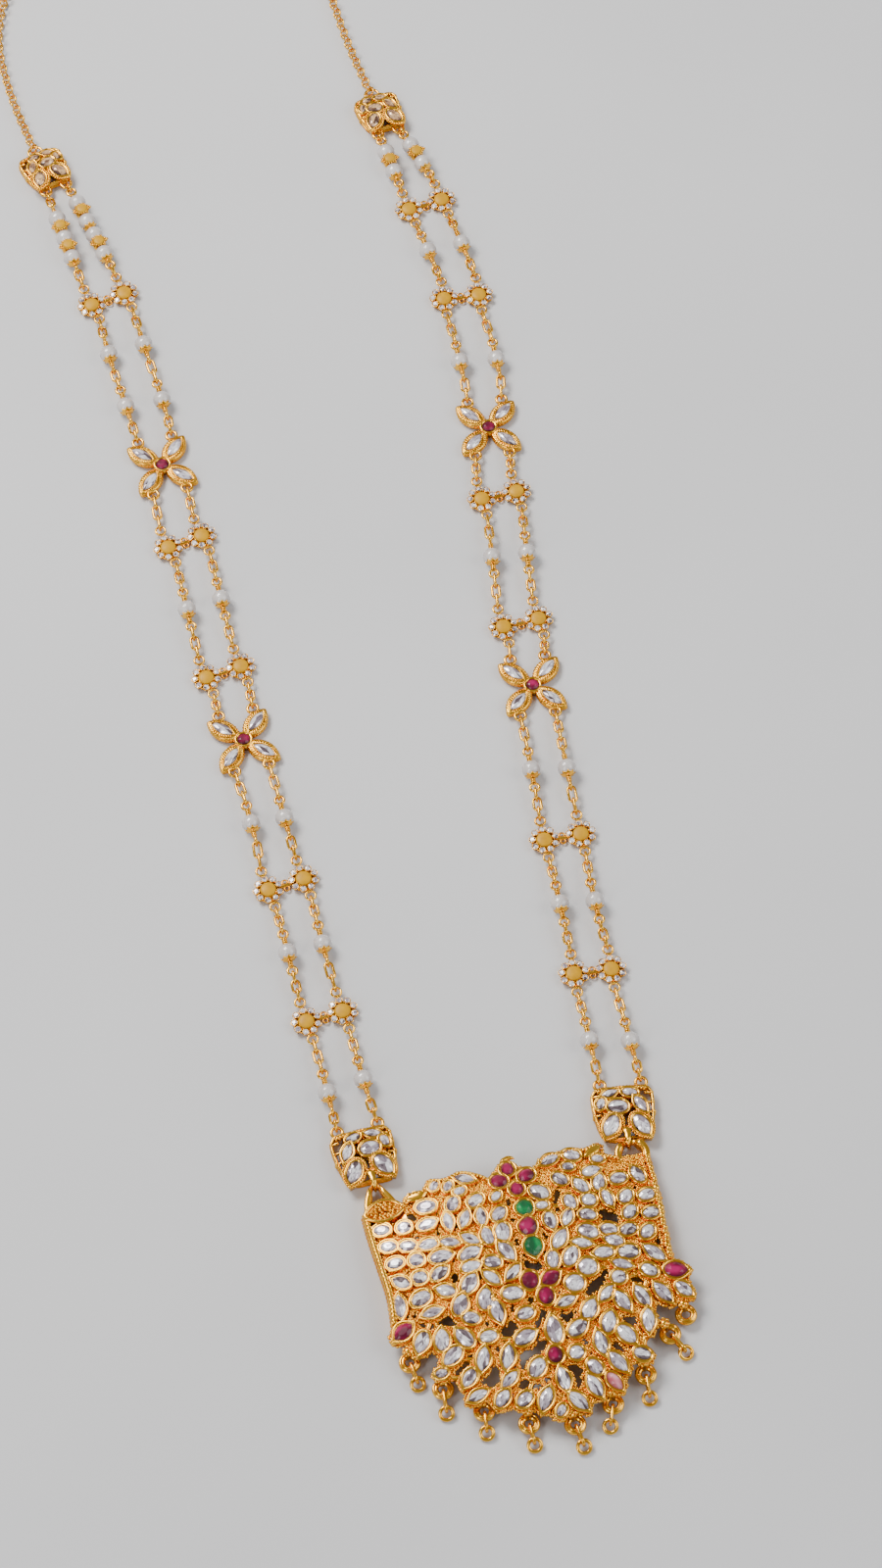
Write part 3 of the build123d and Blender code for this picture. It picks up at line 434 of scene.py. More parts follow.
def shape_angle(form, angle):
    across = math.sin(angle)
    if form == "marquise" or (form == "pear" and math.cos(angle) > 0.1):
        across *= abs(across) ** 0.7
    return math.cos(angle), across


def rim(form, long, wide, grow, z, count=28):
    """Smooth outline of a cut at a height, its point along +X."""
    rows = []
    for k in range(count):
        c, s = shape_angle(form, 2.0 * math.pi * k / count)
        rows.append(((long / 2 + grow) * c, (wide / 2 + grow) * s, z))
    return np.array(rows)


def cut_stone(form, long, wide, table_rise=0.55, girdle=0.0, share=0.52):
    """Crown of a cut stone: table, stars, kites and girdle facets, closed below."""
    def at(share_out, angle, z):
        c, s = shape_angle(form, math.radians(angle))
        return (long / 2 * share_out * c, wide / 2 * share_out * s, z)
    main_rise = girdle + 0.55 * (table_rise - girdle)
    verts = [at(share, 22.5 + 45 * k, table_rise) for k in range(8)]
    verts += [at(0.8, 45 * k, main_rise) for k in range(8)]
    verts += [at(1.0, 22.5 * k, girdle) for k in range(16)]
    verts += [at(1.0, 22.5 * k, girdle - 0.35) for k in range(16)]
    faces = [tuple(range(8))]
    for k in range(8):
        after = (k + 1) % 8
        main, main_after = 8 + k, 8 + after
        mid = 16 + (2 * k + 1) % 16
        faces.append((k, main_after, after))
        faces.append((k, main, mid))
        faces.append((k, mid, main_after))
        faces.append((main, 16 + 2 * k, mid))
        faces.append((main_after, mid, 16 + (2 * k + 2) % 16))
    for k in range(16):
        m = (k + 1) % 16
        faces.append((16 + k, 32 + k, 32 + m, 16 + m))
    faces.append(tuple(reversed(range(32, 48))))
    return verts, faces


def ball_shape(radius, subdivisions):
    work = bmesh.new()
    bmesh.ops.create_icosphere(work, subdivisions=subdivisions, radius=radius)
    verts = [tuple(v.co) for v in work.verts]
    faces = [tuple(v.index for v in f.verts) for f in work.faces]
    work.free()
    return verts, faces


GRAIN = ball_shape(1.0, 2)
SPECK = ball_shape(1.0, 1)


def moved(x, y, z):
    return Matrix.Translation((x, y, z))


def turned(degrees, axis):
    return Matrix.Rotation(math.radians(degrees), 4, axis)


def scaled(x, y, z):
    return Matrix.Diagonal((x, y, z, 1.0))


def at(x, y, z=0.0, turn=0.0, scale=1.0):
    return moved(x, y, z) @ turned(turn, "Z") @ Matrix.Scale(scale, 4)


def along_x(origin, way, out=(0.0, 0.0, 1.0)):
    """Frame at a point with +X along a way and +Z nearest to out."""
    x = Vector(way).normalized()
    z = Vector(out)
    z = (z - x * z.dot(x)).normalized()
    y = z.cross(x)
    grid = Matrix((x, y, z)).transposed().to_4x4()
    grid.translation = Vector(origin)
    return grid


# Layout, in the same numbers as the solids

Dome = namedtuple("Dome", "x y top radius thick")
PENDANT = Dome(-1.0, 0.0, 7.0, 170.0, 2.3)
CONNECTOR_DOME = Dome(0.0, 0.0, 3.0, 60.0, 1.9)
BEZEL = 0.55
POCKET = 1.0
LATTICE_DEPTH = 1.32
LATTICE_REACH = 7.5
NECK_BACK = 1.7

Cut = namedtuple("Cut", "form long wide")
CUTS = {
    "s": Cut("oval", 2.4, 1.7),
    "r": Cut("oval", 2.9, 2.7),
    "o": Cut("oval", 3.4, 2.4),
    "O": Cut("oval", 4.1, 2.9),
    "R": Cut("oval", 3.7, 3.5),
    "p": Cut("pear", 3.9, 2.4),
    "P": Cut("pear", 4.6, 2.8),
    "X": Cut("pear", 5.6, 3.0),
    "m": Cut("marquise", 4.1, 2.0),
    "M": Cut("marquise", 5.0, 2.5),
    "g": Cut("marquise", 3.8, 1.4),
}
LEAF = "g"

Tier = namedtuple("Tier", "x0 y0 x1 y1 bow row")
TIERS = [
    Tier(-16.6, 25.5, -10.2, 25.6, -0.9, "s50 s50 m-25"),
    Tier(-20.7, 24.2, -11.8, 22.9, 0.0, "g5 s10"),
    Tier(-19.2, 21.2, -4.9, 19.8, -0.4, "O-5 o60 o30 s40"),
    Tier(-29.0, 18.5, -5.3, 15.7, -0.3, "o-10 r0 p10 m90 m60 m85 o45"),
    Tier(-28.5, 14.4, -5.5, 11.4, -0.9, "o-15 o-15 p180 m-20 m-40 p100 O80"),
    Tier(-28.0, 10.3, -5.7, 7.1, 0.2, "o0 r0 P0 P20 . M-65"),
    Tier(-27.8, 5.9, -9.0, 5.3, 0.0, "p140 r0 p25 . p5 o-20"),
    Tier(-29.2, 0.8, -5.5, 2.1, 0.3, "M85 O20 p155 P50 m-50 m40"),
    Tier(-23.2, -2.3, -6.6, -2.4, 0.2, "m5 P60 P75 O-10"),
    Tier(-15.9, -5.5, -5.1, -7.2, 1.0, "o-30 M95 o10"),
    Tier(7.7, 25.9, 16.8, 26.3, 0.0, "m20 o-20 g30"),
    Tier(11.0, 23.5, 17.4, 24.2, 0.0, "s-15 s-10"),
    Tier(8.7, 20.9, 15.4, 21.5, 0.0, "o-45 p10"),
    Tier(3.9, 18.8, 24.6, 19.2, -0.4, "O-40 . . p120 p70 o10 p110"),
    Tier(3.7, 15.6, 25.3, 14.1, 0.0, "s0 . o100 r0 m105 o45 o15"),
    Tier(4.5, 11.8, 25.2, 9.9, 0.6, "p-85 m60 o-20 . . o45 o10"),
    Tier(5.4, 7.3, 23.3, 5.7, 1.2, "M50 . O-30 o-15 o10 o40"),
    Tier(9.6, 5.5, 16.1, 4.9, 0.0, "m-20 p155"),
    Tier(3.0, 3.2, 23.6, 0.8, 0.6, "p80 P55 . p175 O-5 M-45"),
    Tier(9.5, 0.1, 16.5, -0.6, 0.0, "R0 m-25"),
    Tier(6.1, -2.9, 21.6, -2.8, -0.4, "R0 . . r0 . o-35"),
    Tier(3.5, -6.4, 11.9, -6.3, 0.0, "m15 m40"),
    Tier(7.7, -9.0, 27.6, -8.0, 0.3, "P55 . M-65 M-70 M-60 p-50"),
    Tier(-26.6, -8.0, -6.3, -12.1, 0.5, "P240 P80 P120 o0 . P20"),
    Tier(4.5, -12.4, 18.8, -13.4, 0.5, "P30 P65 . M80"),
    Tier(-21.3, -12.4, -10.6, -15.3, -0.6, "P215 M70 M70"),
    Tier(3.0, -17.4, 13.8, -15.6, 0.2, "r0 M95 P-55"),
    Tier(-24.2, -15.3, -19.1, -17.7, 0.0, "s0 p230"),
    Tier(-11.3, -19.9, -5.4, -18.8, 0.0, "m35 O50"),
    Tier(5.9, -21.0, 15.9, -20.1, -0.3, "o-55 M-60 o-30"),
    Tier(-18.2, -21.6, -5.2, -25.4, -0.4, "m15 p45 o35 M60"),
    Tier(-0.3, -11.8, -0.3, -11.8, 0.0, "X90"),
    Tier(-0.8, -22.2, -0.8, -22.2, 0.0, "M95"),
    Tier(-2.7, -28.3, 5.0, -24.8, -0.5, "s50 M-55 M-70"),
]

Gem = namedtuple("Gem", "name x y turn form long wide")
GEMS = [
    Gem("ruby_flower_top", -1.2, 25.6, 90, "oval", 2.9, 2.7),
    Gem("ruby_flower_left", -3.5, 23.2, -20, "oval", 3.4, 2.9),
    Gem("ruby_flower_right", 2.2, 23.2, 25, "oval", 3.4, 2.8),
    Gem("ruby_flower_low", -0.4, 20.6, 90, "pear", 3.0, 2.8),
    Gem("emerald_upper", 0.1, 15.9, 90, "oval", 3.5, 3.4),
    Gem("ruby_middle", -0.2, 11.6, 80, "pear", 4.2, 3.6),
    Gem("emerald_lower", -0.2, 6.8, 270, "pear", 4.5, 3.6),
    Gem("ruby_trio_left", -2.6, -0.4, 90, "oval", 3.7, 3.2),
    Gem("ruby_trio_right", 1.6, -0.8, 25, "marquise", 4.1, 2.9),
    Gem("ruby_trio_low", -0.2, -4.4, 90, "oval", 3.6, 3.0),
    Gem("ruby_lower", -1.3, -17.0, 90, "oval", 3.3, 2.9),
    Gem("ruby_side_left", -29.7, -4.7, 30, "marquise", 4.6, 3.2),
    Gem("ruby_side_right", 27.0, -3.6, -10, "pear", 4.8, 3.3),
    Gem("pink_stone", 9.1, -24.7, -60, "pear", 4.2, 2.2),
]

LEFT_WALL = [(-31.4, 22.8), (-31.3, 17.5), (-30.8, 10.0), (-30.4, 3.5), (-30.9, -2.6)]
RIGHT_WALL = [(27.6, 23.0), (27.4, 16.0), (27.0, 9.0), (26.6, 3.0), (26.4, -1.5)]
LEFT_LOBE = [(-23.8, 22.6), (-21.8, 24.6), (-18.7, 25.0), (-17.4, 26.9), (-14.2, 26.4),
             (-10.6, 27.1), (-7.2, 25.4), (-5.6, 23.9)]
RIGHT_LOBE = [(3.9, 24.2), (6.0, 25.9), (8.4, 27.0), (10.7, 26.5), (12.9, 27.3),
              (15.2, 26.8), (17.4, 27.3), (17.0, 25.4), (19.2, 24.6), (21.8, 23.6)]
LOBE_FOOT = 21.0
RIGHT_CORNER = [(18.6, 20.2), (27.9, 20.2), (27.9, 24.2), (18.6, 24.2)]
HORN = [(-1.8, 26.9), (-1.5, 28.0), (0.1, 28.3), (0.75, 28.0)]
RIGHT_BAIL = (24.8, 24.3)
RIGHT_BAIL_RADIUS = 3.0
BAIL_WIRE = 0.42
BAIL_Z = 1.9

Drop = namedtuple("Drop", "x y ring_x ring_y")
DROPS = [
    Drop(-29.6, -10.3, -29.0, -15.0),
    Drop(-24.4, -17.4, -24.8, -22.4),
    Drop(-17.4, -23.8, -17.9, -28.3),
    Drop(-9.3, -28.4, -9.2, -32.9),
    Drop(-0.4, -30.6, 0.3, -35.4),
    Drop(8.0, -28.0, 6.4, -32.3),
    Drop(15.9, -23.2, 15.5, -28.2),
    Drop(22.8, -15.8, 25.0, -20.2),
]
BARE_EYE = (26.9, -12.4)
EYE_RADIUS = 1.35
EYE_WIRE = 0.5
EYE_Z = 1.5
RING_RADIUS = 1.3
RING_WIRE = 0.4
RING_Z = 0.95
RING_TILT = 25.0
DROP_WIRE = 0.36
DROP_HALF_WIDTH = 1.0

Connector = namedtuple("Connector", "scale eyes_v eye_half")
LOW = Connector(1.0, 7.3, 4.3)
TOP = Connector(0.78, -5.2, 2.5)
CONNECTOR_STONES = [
    Gem("low_left", -3.1, -2.7, 240, "pear", 4.8, 3.0),
    Gem("low_right", 3.3, -3.0, -60, "pear", 4.8, 2.9),
    Gem("middle", -1.2, 1.6, -5, "oval", 4.0, 2.8),
    Gem("slant", 3.5, 1.8, -60, "marquise", 4.0, 1.9),
    Gem("side", -4.6, 2.6, 70, "oval", 2.4, 1.7),
    Gem("upper_left", -2.6, 4.8, 15, "marquise", 3.4, 1.5),
    Gem("upper_right", 1.6, 4.7, -12, "oval", 3.0, 1.6),
]
CONNECTOR_FRAME = [(-5.6, 5.8), (-6.0, 0.5), (-4.4, -4.6), (0.0, -5.2), (4.6, -4.8), (6.0, 0.5),
                   (5.6, 5.8), (0.0, 6.2), (-5.6, 5.8)]
LOW_RING_V = -6.3
TOP_RING_V = 5.9

WIRE = 0.25
FULL_WIRE = 0.31
LINK_GAP = 0.18
DAISY_CUPS = 9
CUP_CIRCLE = 2.35
DAISY_EYE = 4.5
EYELET = 1.05
PETAL = Cut("marquise", 7.6, 3.9)
PETAL_STONE = Cut("marquise", 5.2, 2.2)
PETAL_REACH = 4.9
PETAL_TOP = 1.7
HEART = Cut("oval", 2.6, 2.5)
HEART_TOP = 1.9
BUTTERFLY_EYE_U = 3.8
BUTTERFLY_EYE_V = 7.1

PEARL_RADIUS = 2.0
PIN = 0.23
PIN_LOOP = 0.95
CAP_ROOM = 1.5
SPACER_LENGTH = 1.5
BEAD_STEP_GAP = 0.12
EYE_LEVEL = 1.35
PEARL_LEVEL = 2.02
LINK_HALF_WIDTH = 0.8
LONGEST_LINK = 1.8
CHAIN_RADIUS = 1.25

Leg = namedtuple("Leg", "length heading")
LEFT_START = (-28.7, 43.2, -2.3)
LEFT_ROUTE = [Leg(175.0, -2.6), Leg(40.0, -5.5), Leg(22.0, -12.0), Leg(40.0, -7.0)]
RIGHT_START = (26.4, 41.0, 1.0)
RIGHT_ROUTE = [Leg(90.0, 4.0), Leg(85.0, 6.0), Leg(40.0, -5.0), Leg(25.0, -11.0), Leg(30.0, -6.0)]

Station = namedtuple("Station", "kind at gap turn left right")
LEFT_SIDE = [
    Station("low", 0.0, 8.6, 0, 0, 0),
    Station("pearl", 9.6, 8.0, 8, 1, 1),
    Station("daisy", 26.9, 7.9, 3, 0, 0),
    Station("pearl", 43.0, 7.6, 1, 1, 1),
    Station("daisy", 59.4, 7.9, 5, 0, 0),
    Station("pearl", 74.8, 7.2, -4, 1, 1),
    Station("butterfly", 95.8, 7.6, 0, 0, 0),
    Station("daisy", 113.7, 7.9, 6, 0, 0),
    Station("pearl", 131.0, 7.8, 5, 1, 1),
    Station("daisy", 148.4, 7.9, 8, 0, 0),
    Station("butterfly", 169.0, 7.6, 0, 0, 0),
    Station("pearl", 185.8, 8.2, -4, 1, 1),
    Station("pearl", 201.0, 8.2, 2, 1, 1),
    Station("daisy", 216.1, 7.9, 6, 0, 0),
    Station("group", 232.4, 6.6, -4, 3, 4),
    Station("top", 249.6, 5.0, 4, 0, 0),
]
RIGHT_SIDE = [
    Station("low", 0.0, 8.6, -6, 0, 0),
    Station("pearl", 9.9, 8.4, -12, 1, 1),
    Station("daisy", 27.0, 7.9, -3, 0, 0),
    Station("pearl", 43.2, 7.4, -5, 1, 1),
    Station("daisy", 59.8, 7.9, 1, 0, 0),
    Station("pearl", 76.2, 7.6, -6, 1, 1),
    Station("butterfly", 97.6, 7.6, 0, 0, 0),
    Station("daisy", 113.9, 7.9, 7, 0, 0),
    Station("pearl", 131.0, 7.7, 0, 1, 1),
    Station("daisy", 147.3, 7.9, 7, 0, 0),
    Station("butterfly", 165.2, 7.6, 0, 0, 0),
    Station("pearl", 183.0, 8.2, -4, 1, 1),
    Station("daisy", 201.4, 7.9, -6, 0, 0),
    Station("pearl", 215.0, 7.9, -3, 1, 1),
    Station("daisy", 228.4, 7.9, -1, 0, 0),
    Station("group", 240.6, 6.4, -4, 2, 2),
    Station("top", 250.6, 5.0, -2, 0, 0),
]
SPACED = {1: [], 2: [True], 3: [True, True], 4: [True, False, True]}

LEFT_CHAIN = [(-47.9, 304.9), (-50.3, 320.5), (-50.6, 337.5), (-44.6, 353.6), (-30.4, 365.0),
              (-13.5, 370.7)]
RIGHT_CHAIN = [(31.0, 303.9), (28.9, 319.0), (28.2, 335.5), (22.0, 351.0), (9.8, 363.4),
               (-5.0, 370.5)]
CLASP = (-9.4, 371.0)
CLASP_RADIUS = 3.0
CLASP_WIRE = 0.8


def seat(dome, x, y, turn=0.0, depth=0.0):
    """Where a stone sits on a dome: +Z out of it, +X along the turn."""
    drop = math.sqrt(dome.radius ** 2 - (x - dome.x) ** 2 - (y - dome.y) ** 2)
    point = Vector((x, y, dome.top - dome.radius + drop))
    out = (point - Vector((dome.x, dome.y, dome.top - dome.radius))).normalized()
    way = (math.cos(math.radians(turn)), math.sin(math.radians(turn)), 0.0)
    return along_x(point - out * depth, Vector(way) - out * Vector(way).dot(out), out)


Setting = namedtuple("Setting", "x y turn form long wide letter tier")


def tier_settings(index, tier):
    chord = math.atan2(tier.y1 - tier.y0, tier.x1 - tier.x0)
    marks = []
    for word in tier.row.split():
        if word == ".":
            marks.append((None, 0.0, 0.9))
            continue
        cut = CUTS[word[0]]
        turn = float(word[1:])
        lean = math.radians(turn) - chord
        half = math.hypot(cut.long / 2 * math.cos(lean), cut.wide / 2 * math.sin(lean))
        marks.append((word[0], turn, half + BEZEL / 2))
    steps = [0.0]
    for before, after in zip(marks, marks[1:]):
        steps.append(steps[-1] + before[2] + after[2])
    total = steps[-1] or 1.0
    settings = []
    for (letter, turn, half), step in zip(marks, steps):
        if letter is None:
            continue
        u = step / total
        x = tier.x0 + (tier.x1 - tier.x0) * u
        y = tier.y0 + (tier.y1 - tier.y0) * u + 4.0 * tier.bow * u * (1.0 - u)
        settings.append(Setting(x, y, turn, *CUTS[letter], letter, index))
    return settings


def pendant_settings():
    settings = []
    for index, tier in enumerate(TIERS):
        settings += tier_settings(index, tier)
    for gem in GEMS:
        settings.append(Setting(gem.x, gem.y, gem.turn, gem.form, gem.long, gem.wide, "", -1))
    return settings


def lattice_pairs(settings, reach):
    pairs = set()
    for i, a in enumerate(settings):
        near = sorted(range(len(settings)), key=lambda j: math.dist(a[:2], settings[j][:2]))
        others = [j for j in near[1:] if settings[j].tier != a.tier][:2]
        same = [j for j in near[1:] if settings[j].tier == a.tier][:1]
        for j in others + same:
            if math.dist(a[:2], settings[j][:2]) < reach:
                pairs.add((min(i, j), max(i, j)))
    return sorted(pairs)


def drop_turn(drop):
    return math.degrees(math.atan2(drop.ring_y - drop.y, drop.ring_x - drop.x))


# Settings and their metal

def bezel(form, long, wide, high=0.17, deep=2.0, count=28, broad=0.75):
    """Upright collar with a thin rounded crest, drawn out at its points and slightly uneven."""
    rows = ((0.94, -deep), (1.0, -0.9), (0.97, -0.12), (0.84, high * 0.6), (0.62, high),
            (0.4, high * 0.75), (0.2, 0.02), (0.09, -0.12), (0.05, -0.5), (0.05, -deep))
    start = random.uniform(0.0, 2.0 * math.pi)
    broad *= random.uniform(0.9, 1.08)
    rings = []
    for share, z in rows:
        ring = rim(form, long, wide, broad * share, z, count)
        for k in range(count):
            angle = 2.0 * math.pi * k / count
            point = max(math.cos(angle), 0.0 if form == "pear" else abs(math.cos(angle)))
            drawn = 1.0 + (0.0 if form == "oval" else 0.16 * share * point ** 10)
            uneven = 1.0 + 0.025 * share * math.sin(3 * angle + start)
            ring[k, :2] *= drawn * uneven
        rings.append(ring)
    verts, faces = loft(rings, close=True)
    return verts, [tuple(reversed(f)) for f in faces]


def leaf(form, long, wide):
    rows = ((0.5, -1.6), (0.5, -0.15), (0.42, 0.05), (0.1, 0.2), (-0.3, 0.32))
    rings = [rim(form, long, wide, grow, z) for grow, z in rows]
    return loft(rings, cap_low=True, cap_high=True)


def wavy(path, step):
    """Points along a polyline at even steps."""
    points = [Vector(p) for p in path]
    found = []
    carry = 0.0
    for a, b in zip(points, points[1:]):
        run = (b - a).length
        s = carry
        while s < run:
            found.append((a.lerp(b, s / run), (b - a).normalized()))
            s += step
        carry = s - run
    return found


def twist(piece, path, radius, wire, pitch, strands, material=None):
    """Wires wound round a path, as in a cord of metal."""
    points = wavy(path, pitch / 10)
    for strand in range(strands):
        line = []
        for k, (point, way) in enumerate(points):
            side = way.cross(Vector((0, 0, 1))).normalized()
            angle = 2.0 * math.pi * (k / 10 + strand / strands)
            line.append(point + radius * (math.cos(angle) * side + math.sin(angle) * side.cross(way)))
        piece.add(tube(line, wire, 7), material or GOLD)


def nuggets(piece, path, radius, step, material=None):
    """Uneven lumps of metal along a path."""
    for point, _ in wavy(path, step):
        sizes = [radius * random.uniform(0.75, 1.2) for _ in range(3)]
        turn = Matrix.Rotation(random.uniform(0.0, math.pi), 4, "Z")
        shift = Vector((random.uniform(-0.2, 0.2), 0.0, random.uniform(-0.15, 0.15)))
        piece.add(GRAIN, material or GOLD, Matrix.Translation(point + shift) @ turn @ scaled(*sizes))


def inside(points, xs, ys):
    """Which grid points lie in a polygon."""
    found = np.zeros(xs.shape, bool)
    for (x0, y0), (x1, y1) in zip(points, points[1:] + points[:1]):
        if y0 == y1:
            continue
        crossing = x0 + (ys - y0) * (x1 - x0) / (y1 - y0)
        found ^= ((y0 > ys) != (y1 > ys)) & (xs < crossing)
    return found


WALL_ROWS = ((0.1, 0.2), (0.5, 1.35), (0.5, 2.5), (0.5, 3.1))
# the lower lobe row takes the darker gold as painted shade
LOBE_ROWS = ((0.0, 0.15, GOLD), (0.25, 0.9, SHADED_GOLD))
PATH_LOWEST = 0.95
WEB_STEP = 0.52
WEB_FRINGE = 0.42
WEB_FILL = 1.75


def web_grid(settings):
    """Grid points over the plate, each with its distance to the two nearest settings."""
    xs, ys = np.meshgrid(np.arange(-33.0, 30.0, WEB_STEP), np.arange(-31.5, 28.5, WEB_STEP * 0.87))
    xs[1::2] += WEB_STEP / 2
    near = np.full(xs.shape, 99.0)
    second = near.copy()
    way = np.zeros(xs.shape)
    for s in settings:
        turn = math.radians(s.turn)
        u = (xs - s.x) * math.cos(turn) + (ys - s.y) * math.sin(turn)
        v = (ys - s.y) * math.cos(turn) - (xs - s.x) * math.sin(turn)
        a, b = s.long / 2 + 0.6, s.wide / 2 + 0.6
        gap = np.hypot(u, v) * (1.0 - 1.0 / np.maximum(np.hypot(u / a, v / b), 1e-3))
        closer = gap < near
        second = np.where(closer, near, np.minimum(second, gap))
        way = np.where(closer, np.arctan2(v / b ** 2, u / a ** 2) + turn, way)
        near = np.where(closer, gap, near)
    return xs, ys, near, second, way


def dress_web(settings):
    """Twisted-wire grains round every setting, closing the narrow gaps between them."""
    piece = Piece("pendant_web")
    xs, ys, near, second, way = web_grid(settings)
    keep = (near > -0.05) & ((near < WEB_FRINGE) | (near + second < WEB_FILL))
    lobes = [lobe + [(lobe[-1][0], LOBE_FOOT), (lobe[0][0], LOBE_FOOT)] for lobe in (LEFT_LOBE, RIGHT_LOBE)]
    for area in lobes + [RIGHT_CORNER]:
        keep |= (near > -0.05) & inside(area, xs, ys)
    for x, y, normal in zip(xs[keep], ys[keep], way[keep]):
        x += random.uniform(-0.1, 0.1)
        y += random.uniform(-0.1, 0.1)
        turn = math.degrees(normal) + 90.0 + random.gauss(32.0, 12.0)
        place = seat(PENDANT, x, y, turn, 1.0 + random.uniform(-0.16, 0.16))
        size = random.uniform(0.95, 1.25)
        piece.add(SPECK, GOLD, place @ scaled(0.5 * size, 0.29 * size, 0.36 * size))
    piece.make("gold")


def dome_path(points, depth):
    """Points at a depth below the dome, kept clear of the floor."""
    path = [seat(PENDANT, x, y, 0.0, depth).translation for x, y in points]
    return [Vector((p.x, p.y, max(p.z, PATH_LOWEST))) for p in path]


def smooth_path(points, count, closed=False):
    """Catmull-Rom points through a few corners."""
    points = [Vector(p) for p in points]
    n = len(points)
    found = []
    spans = n if closed else n - 1
    for i in range(spans):
        if closed:
            a, b, c, d = (points[(i + k) % n] for k in (-1, 0, 1, 2))
        else:
            b, c = points[i], points[i + 1]
            a = points[i - 1] if i > 0 else b + (b - c)
            d = points[i + 2] if i + 2 < n else c + (c - b)
        for k in range(count):
            t = k / count
            found.append(0.5 * ((2 * b) + (c - a) * t + (2 * a - 5 * b + 4 * c - d) * t * t
                                + (3 * b - a - 3 * c + d) * t ** 3))
    if not closed:
        found.append(points[-1])
    return found


# Pendant

def pendant_rims(settings):
    piece = Piece("pendant_bezels")
    for s in settings:
        shape = leaf if s.letter == LEAF else bezel
        piece.add(shape(s.form, s.long, s.wide), GOLD, seat(PENDANT, s.x, s.y, s.turn))
    piece.make("gold")


def rod(start, end, radius):
    return tube([start, (start + end) / 2, end], radius, 8)


def pendant_lattice(settings):
    piece = Piece("pendant_lattice")
    for i, j in lattice_pairs(settings, LATTICE_REACH):
        ends = [seat(PENDANT, s.x, s.y, 0.0, LATTICE_DEPTH).translation for s in (settings[i], settings[j])]
        piece.add(rod(*ends, 0.55), GOLD)
    piece.make("gold")


def dome_line(points, depth, right=0.0, down=0.0):
    """A smooth line along shifted points at a depth below the dome."""
    return smooth_path(dome_path([(x + right, y - down) for x, y in points], depth), 6)


def pendant_trim():
    """Twisted edges of the lobes, a twisted left wall and a lumpy right wall."""
    piece = Piece("pendant_trim")
    for points in (LEFT_LOBE, RIGHT_LOBE):
        for down, depth, material in LOBE_ROWS:
            twist(piece, dome_line(points, depth, 0.0, down), 0.24, 0.25, 1.5, 2, material)
    for out, depth in WALL_ROWS:
        # the lower wall rows take the darker gold as painted shade
        material = GOLD if depth < 1.0 else SHADED_GOLD
        twist(piece, dome_line(LEFT_WALL, depth, -out), 0.4, 0.4, 2.7, 3, material)
        nuggets(piece, dome_line(RIGHT_WALL, depth, out), 0.72, 0.95, material)
    nuggets(piece, dome_line(RIGHT_WALL, 0.7, -0.9), 0.5, 0.7)
    piece.make("gold")


def dress_horn(piece):
    low = seat(PENDANT, *HORN[0]).translation.z - 0.8
    path = smooth_path([(x, y, low) for x, y in HORN], 6)
    sizes = np.interp(np.linspace(0, 1, len(path)), (0.0, 0.45, 1.0), (0.75, 0.55, 0.16))
    piece.add(tube(path, sizes, 12), GOLD)


def dress_pendant():
    settings = pendant_settings()
    pendant_rims(settings)
    pendant_lattice(settings)
    dress_web(settings)
    pendant_trim()
    piece = Piece("pendant_bails")
    dress_horn(piece)
    dress_left_bail(piece)
    dress_right_bail(piece)
    dress_eye(piece, *BARE_EYE, -90.0)
    for drop in DROPS:
        dress_eye(piece, drop.x, drop.y, drop_turn(drop))
    piece.make("gold")
    dress_stones(settings)


def strip(path, half_heights, thick, inward):
    """A band standing on edge along a path, its height changing, rounded at both edges."""
    rings = []
    for point, high, deep, side in zip(path, half_heights, thick, inward):
        across = Vector(side).normalized() * deep
        rows = ((0.4, -1.0), (0.8, -0.93), (1.0, -0.7), (1.0, 0.7), (0.8, 0.93), (0.4, 1.0),
                (-0.4, 1.0), (-0.8, 0.93), (-1.0, 0.7), (-1.0, -0.7), (-0.8, -0.93), (-0.4, -1.0))
        rings.append(np.array([tuple(point + across * u + Vector((0, 0, high * v))) for u, v in rows]))
    return loft(rings, cap_low=True, cap_high=True)


def band(piece, path, centre, narrow, room, half_height):
    """A bail: a standing strip that narrows to its wire where the connector's ring runs."""
    shares = [min(max((math.dist(point[:2], narrow) - room) / 1.4, 0.0), 1.0) for point in path]
    shares = [s * s * (3.0 - 2.0 * s) for s in shares]
    highs = [0.78 + (half_height - 0.78) * s for s in shares]
    thick = [BAIL_WIRE + 0.28 * s for s in shares]
    inward = [Vector((centre[0] - p.x, centre[1] - p.y, 0.0)) for p in path]
    piece.add(strip(path, highs, thick, inward), GOLD)
    # the bail's inner lining takes the darker gold as painted shade
    lining = [p + i.normalized() * (d * 0.75) for p, i, d in zip(path, inward, thick)]
    piece.add(strip(lining, [h * 0.8 for h in highs], [d * 0.5 for d in thick], inward), SHADED_GOLD)


